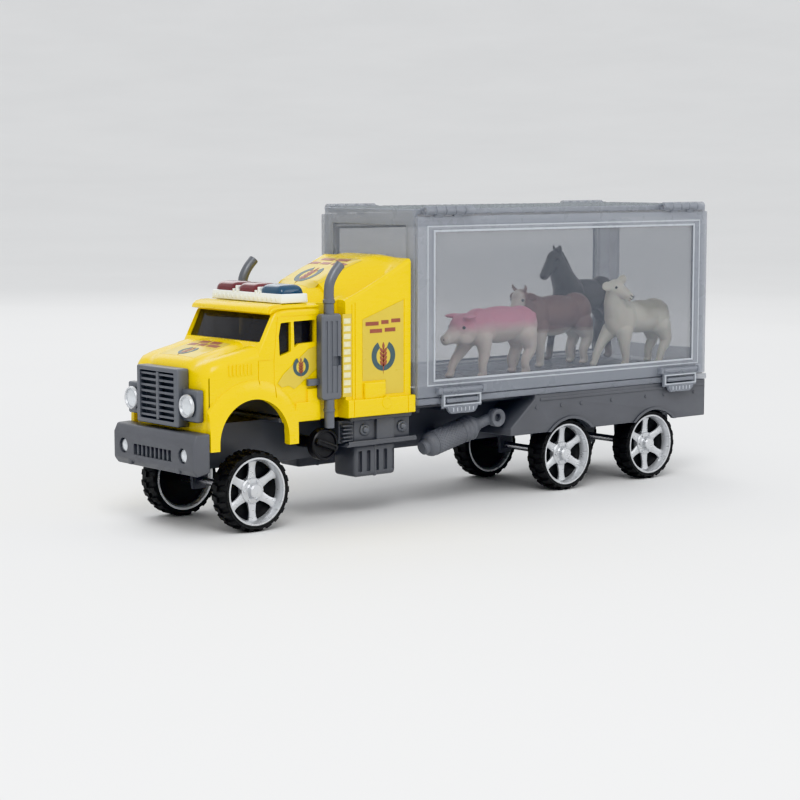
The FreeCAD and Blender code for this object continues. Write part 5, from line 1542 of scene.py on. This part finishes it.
def sheep():
    """Cream lamb with its head held high and turned to the near side, ears out."""
    c = stand("sheep", -0.6)
    forms = [ellipsoid((2, 0, 22), (16.4, 7.2, 7.5)), ellipsoid((11.4, 0, 21.8), (8.2, 7.3, 8.2)),
             ellipsoid((-9.4, 0, 21.6), (8, 7, 8.4)),
             ellipsoid((-13.4, 0, 19.8), (4.4, 4.8, 6.2), (0, -14, 0)),
             limb((-11.4, 0, 22, 6.4), (-14.6, -0.4, 28, 4.7), (-15.6, -1.2, 33, 3.8)),
             ellipsoid((-15.4, -1.8, 35.4), (4.4, 4.3, 4.3)),
             limb((-15.2, -2.6, 35.0, 3.7), (-13.5, -5.8, 33.3, 2.7), (-12.4, -7.8, 32.1, 1.9)),
             ellipsoid((-12.2, -8.3, 31.9), (1.8, 1.5, 1.4)),
             ellipsoid((-12.7, -7.4, 30.8), (1.5, 1.5, 1.1)),
             flap((-17.4, -2.0, 37.2), (-26.0, -4.2, 36.4), 4.4, 2.0, (0.3, -0.9, 0.3)),
             flap((-13.2, -0.8, 37.8), (-5.2, 1.4, 40.2), 4.4, 2.0, (0.5, -0.8, 0.3)),
             limb((18.2, 0, 25.4, 2.2), (19.6, 0, 21, 2.0), (19.4, 0, 17, 1.3)),
             leg((-11, -3.6, 15.5, 3.9), (-11.4, -4.2, 9.6, 2.4), (-10.8, -4.4, 5.0, 1.8),
                 (-10.8, -4.4, 1.8, 1.6), 1.9),
             leg((-13, 3.6, 16, 3.9), (-17.4, 4.0, 11.4, 2.4), (-20.6, 4.2, 6.0, 1.8),
                 (-22.2, 4.2, 1.9, 1.5), 1.8)]
    for q in (-1, 1):
        forms.append(leg((13, q * 3.6, 17.6, 4.6), (15.6, q * 4.2, 11, 2.7), (13.0, q * 4.3, 6, 1.8),
                         (12.4 + q, q * 4.4, 1.8, 1.6), 1.9))
    body = sculpt(move(forms, c), 0.34)
    material = skin("sheep_paint", srgb(228, 222, 208), srgb(176, 170, 152),
                    lambda m: m.math("MULTIPLY",
                                     m.rescale(m.split()[2], 0.0, 0.9, (c.z + 18) * MM, (c.z + 28) * MM),
                                     m.rescale(m.split()[0], 0.0, 1.0, (c.x - 9) * MM, (c.x + 1) * MM)))
    place(body, "sheep_sculpted", "truck", material, ["sheep"], 180)
    eyes = [(c + Vector((-17.6, -4.6, 36.1)), (0.7, 0.7, -0.1)),
            (c + Vector((-11.8, -3.6, 36.2)), (-0.8, 0.5, -0.1))]
    look = (-0.3, 1, 0.1)
    marks = [[(c + Vector((x, -8, z)), look) for x, z in line] for line in
             (((-13.6, 32.9), (-12.9, 32.2), (-12.2, 32.1)), ((-10.9, 32.9), (-11.4, 32.2), (-12.2, 32.1)),
              ((-12.2, 32.1), (-12.2, 31.6), (-12.2, 31.2)), ((-13.8, 31.4), (-12.9, 31.0), (-11.4, 31.3)))]
    painted_details("sheep", body, eyes, 0.62, marks)


def cow():
    """Russet cow with a white face and lower legs, a low head and short horns."""
    c = stand("cow", 3)
    forms = [ellipsoid((1, 0, 24), (19, 7.6, 8.2)), ellipsoid((14, 0, 24.6), (7.8, 7.4, 8.3)),
             ellipsoid((-12, 0, 24), (8.4, 7, 8.6)),
             limb((-14, 0, 25, 6.6), (-19, -0.6, 28.6, 5.2), (-21.4, -1.4, 31, 4.2)),
             ellipsoid((-22, -1.8, 31.6), (4.3, 3.9, 4.3)),
             limb((-22.4, -2, 31, 3.7), (-25.2, -2.8, 27.6, 3.0), (-26.8, -3.2, 25.4, 2.5)),
             ellipsoid((-26.9, -3.3, 25), (2.3, 2.6, 2.1)),
             ellipsoid((15, 0, 16.4), (4, 3.4, 2.6)), ellipsoid((-1, 0, 19), (13, 5.6, 5.4)),
             limb((21, 0, 29, 1.2), (22.8, 0.4, 22, 0.8), (22.6, 0.6, 15, 0.8), (22.6, 0.6, 12.4, 1.4)),
             leg((-12, -3.8, 18, 4.4), (-12.4, -4.4, 11.4, 2.6), (-12.0, -4.5, 6.0, 1.9),
                 (-12.2, -4.5, 1.9, 1.8)),
             leg((-13, 3.8, 18, 4.4), (-16.4, 4.3, 12.0, 2.6), (-18.4, 4.4, 6.4, 1.9),
                 (-19.6, 4.4, 1.9, 1.8))]
    for q in (-1, 1):
        forms += [flap((-20.8, -1.3 + q * 3.0, 33.2), (-19.4, -1.0 + q * 9.0, 32.0), 3.6, 1.4,
                       (-1, 0, 0.3)),
                  limb((-21.8, -1.4 + q * 2.2, 34.8, 1.0), (-22.0, -1.3 + q * 4.0, 36.2, 0.8),
                       (-22.6, -1.3 + q * 4.2, 37.8, 0.4)),
                  leg((15, q * 3.8, 19, 5.0), (17.6, q * 4.4, 12.4, 2.9), (15.2, q * 4.5, 6.6, 2.0),
                      (16.0, q * 4.5, 1.9, 1.8))]
    body = sculpt(move(forms, c), 0.38)

    def pale_parts(m):
        x, y, z = m.split()
        face = m.rescale(x, 1.0, 0.0, (c.x - 25) * MM, (c.x - 21) * MM)
        feet = m.rescale(z, 1.0, 0.0, (c.z + 6) * MM, (c.z + 13) * MM)
        belly = m.rescale(z, 0.8, 0.0, (c.z + 15) * MM, (c.z + 19) * MM)
        return m.math("MAXIMUM", m.math("MAXIMUM", face, feet), belly)

    material = skin("cow_paint", srgb(138, 104, 96), srgb(220, 211, 200), pale_parts)
    place(body, "cow_sculpted", "truck", material, ["cow"], 180)
    eyes = [(c + Vector((-24.0, -2.2 + q * 3.4, 31.0)), (0.4, -q, -0.1)) for q in (-1, 1)]
    nostrils = [[(c + Vector((-28, -3.3 + q * 1.2, 25.2 + dz)), (1, 0, 0)) for dz in (0, 0.3, 0.6)]
                for q in (-1, 1)]
    painted_details("cow", body, eyes, 0.65, nostrils)


def horse():
    """Dark horse with a thick arched neck, a roached mane and a long tail."""
    c = stand("horse", 3.5)
    forms = [ellipsoid((1, 0, 30), (16.2, 6.6, 7.6)), ellipsoid((11.6, 0, 30.6), (7.6, 6.7, 8)),
             ellipsoid((-10.2, 0, 30.4), (7.6, 6.4, 8.2)),
             limb((-9.4, 0, 32, 7.2), (-13.2, 0, 38, 5.8), (-16.4, 0, 43.6, 4.6), (-17.8, 0, 47.4, 3.7)),
             ellipsoid((-18.8, 0, 47.6), (4.2, 3.2, 4.0), (0, 30, 0)),
             limb((-19.2, 0, 47.4, 3.5), (-22.8, 0, 43.2, 2.7), (-25.2, 0, 40.2, 2.2)),
             ellipsoid((-25.4, 0, 39.9), (2.2, 2.1, 1.9)),
             leg((-10.5, -3.4, 25, 4.4), (-10.8, -3.8, 16.0, 2.4), (-10.4, -3.8, 8.4, 1.6),
                 (-10.8, -3.8, 1.9, 1.7)),
             leg((-11.5, 3.4, 25, 4.4), (-15.4, 3.8, 18.4, 2.3), (-17.0, 3.8, 10.2, 1.6),
                 (-18.4, 3.8, 1.9, 1.7)),
             limb((18.4, 0, 34, 1.8), (21.6, 0, 31, 2.3), (22.4, 0, 21, 2.6), (21.8, 0, 11, 1.0))]
    for q in (-1, 1):
        forms += [flap((-17.0, q * 1.6, 49.6), (-17.6, q * 2.2, 54.2), 2.2, 1.2, (-1, q * 0.6, 0)),
                  ellipsoid((-19.4, q * 1.6, 45.4), (2.8, 1.8, 2.8)),
                  leg((12.6, q * 3.4, 26, 5.0), (15.4, q * 3.7, 18.0, 2.7), (12.8, q * 3.8, 9.4, 1.7),
                      (13.8, q * 3.8, 1.9, 1.7))]
    for k, p in enumerate(curve_points([(-7.4, 0, 39.0), (-10.6, 0, 43.6), (-13.8, 0, 48.4),
                                        (-17.0, 0, 51.4)], 16)):
        forms.append(ellipsoid(p, (1.8, 0.9, 1.8), (0, 20 * math.sin(k), 8 * math.sin(2.1 * k))))
    body = sculpt(move(forms, c), 0.38, 4)

    def socks(m):
        return m.rescale(m.split()[2], 0.8, 0.0, (c.z + 4) * MM, (c.z + 9) * MM)

    material = skin("horse_paint", srgb(62, 55, 54), srgb(160, 150, 142), socks, 0.42)
    place(body, "horse_sculpted", "truck", material, ["horse"], 180)
    eyes = [(c + Vector((-20.4, q * 3, 47.2)), (0.3, -q, 0)) for q in (-1, 1)]
    nostrils = [[(c + Vector((-26, q * 1.3, 40.0 + dz)), (1, -q * 0.5, 0)) for dz in (0, 0.3, 0.6)]
                for q in (-1, 1)]
    painted_details("horse", body, eyes, 0.6, nostrils)


pig()
sheep()
cow()
horse()


# ---------------------------------------------------------------- CAD node shown as it is

carried = frame["nodes"]["chassis_frame"].data.materials
carried.clear()
carried.append(chassis_grey)


# ---------------------------------------------------------------- stage, light and camera

def stage():
    """Pale floor that rises in one sweep all round, so that it has no edge in view."""
    profile = [(0, 0), (1.6, 0), (2.2, 0.01), (2.9, 0.05), (3.6, 0.12), (4.3, 0.23), (5.0, 0.38),
               (5.7, 0.58), (6.4, 0.84),
               (7.1, 1.2), (7.6, 1.65)]
    cove = lathe(profile, (0, 0, 0), steps=96)
    cove.name = "floor"
    shade(cove, 180)
    m = Nodes("floor", 0.75)
    m.color(m.ramp(m.noise(3.0, 3.0), [(0.3, (0.82, 0.82, 0.82, 1)), (0.7, (0.85, 0.85, 0.85, 1))]))
    m.bump(m.noise(900.0, 3.0), 0.00002, 0.4)
    cove.data.materials.append(m.material)


def softbox(name, place_at, target, size, power):
    data = bpy.data.lights.new(name, "AREA")
    data.shape = "RECTANGLE"
    data.size, data.size_y = size
    data.energy = power
    lamp = bpy.data.objects.new(name, data)
    lamp.location = place_at
    lamp.rotation_euler = (Vector(target) - Vector(place_at)).to_track_quat("-Z", "Y").to_euler()
    bpy.context.scene.collection.objects.link(lamp)


def light_and_camera():
    softbox("key", (-0.55, -0.75, 0.95), (0, 0, 0.05), (0.6, 0.6), 6.2)
    softbox("fill", (0.9, -0.9, 0.55), (0, 0, 0.06), (0.9, 0.6), 2.0)
    softbox("back", (0.3, 1.0, 0.8), (0, 0, 0.06), (1.0, 0.7), 2.6)
    world = bpy.data.worlds.new("studio")
    world.use_nodes = True
    world.node_tree.nodes["Background"].inputs["Color"].default_value = (0.9, 0.91, 0.92, 1)
    world.node_tree.nodes["Background"].inputs["Strength"].default_value = 0.95
    bpy.context.scene.world = world
    bpy.context.scene.view_settings.view_transform = "Khronos PBR Neutral"
    data = bpy.data.cameras.new("camera")
    data.lens = 93.8
    data.sensor_width = 36.0
    data.clip_start = 0.01
    camera = bpy.data.objects.new("camera", data)
    camera.location = (-0.5834, -0.6830, 0.1420)
    camera.rotation_euler = Vector((0.6349, 0.7645, -0.1114)).to_track_quat("-Z", "Y").to_euler()
    bpy.context.scene.collection.objects.link(camera)
    bpy.context.scene.camera = camera


stage()
light_and_camera()
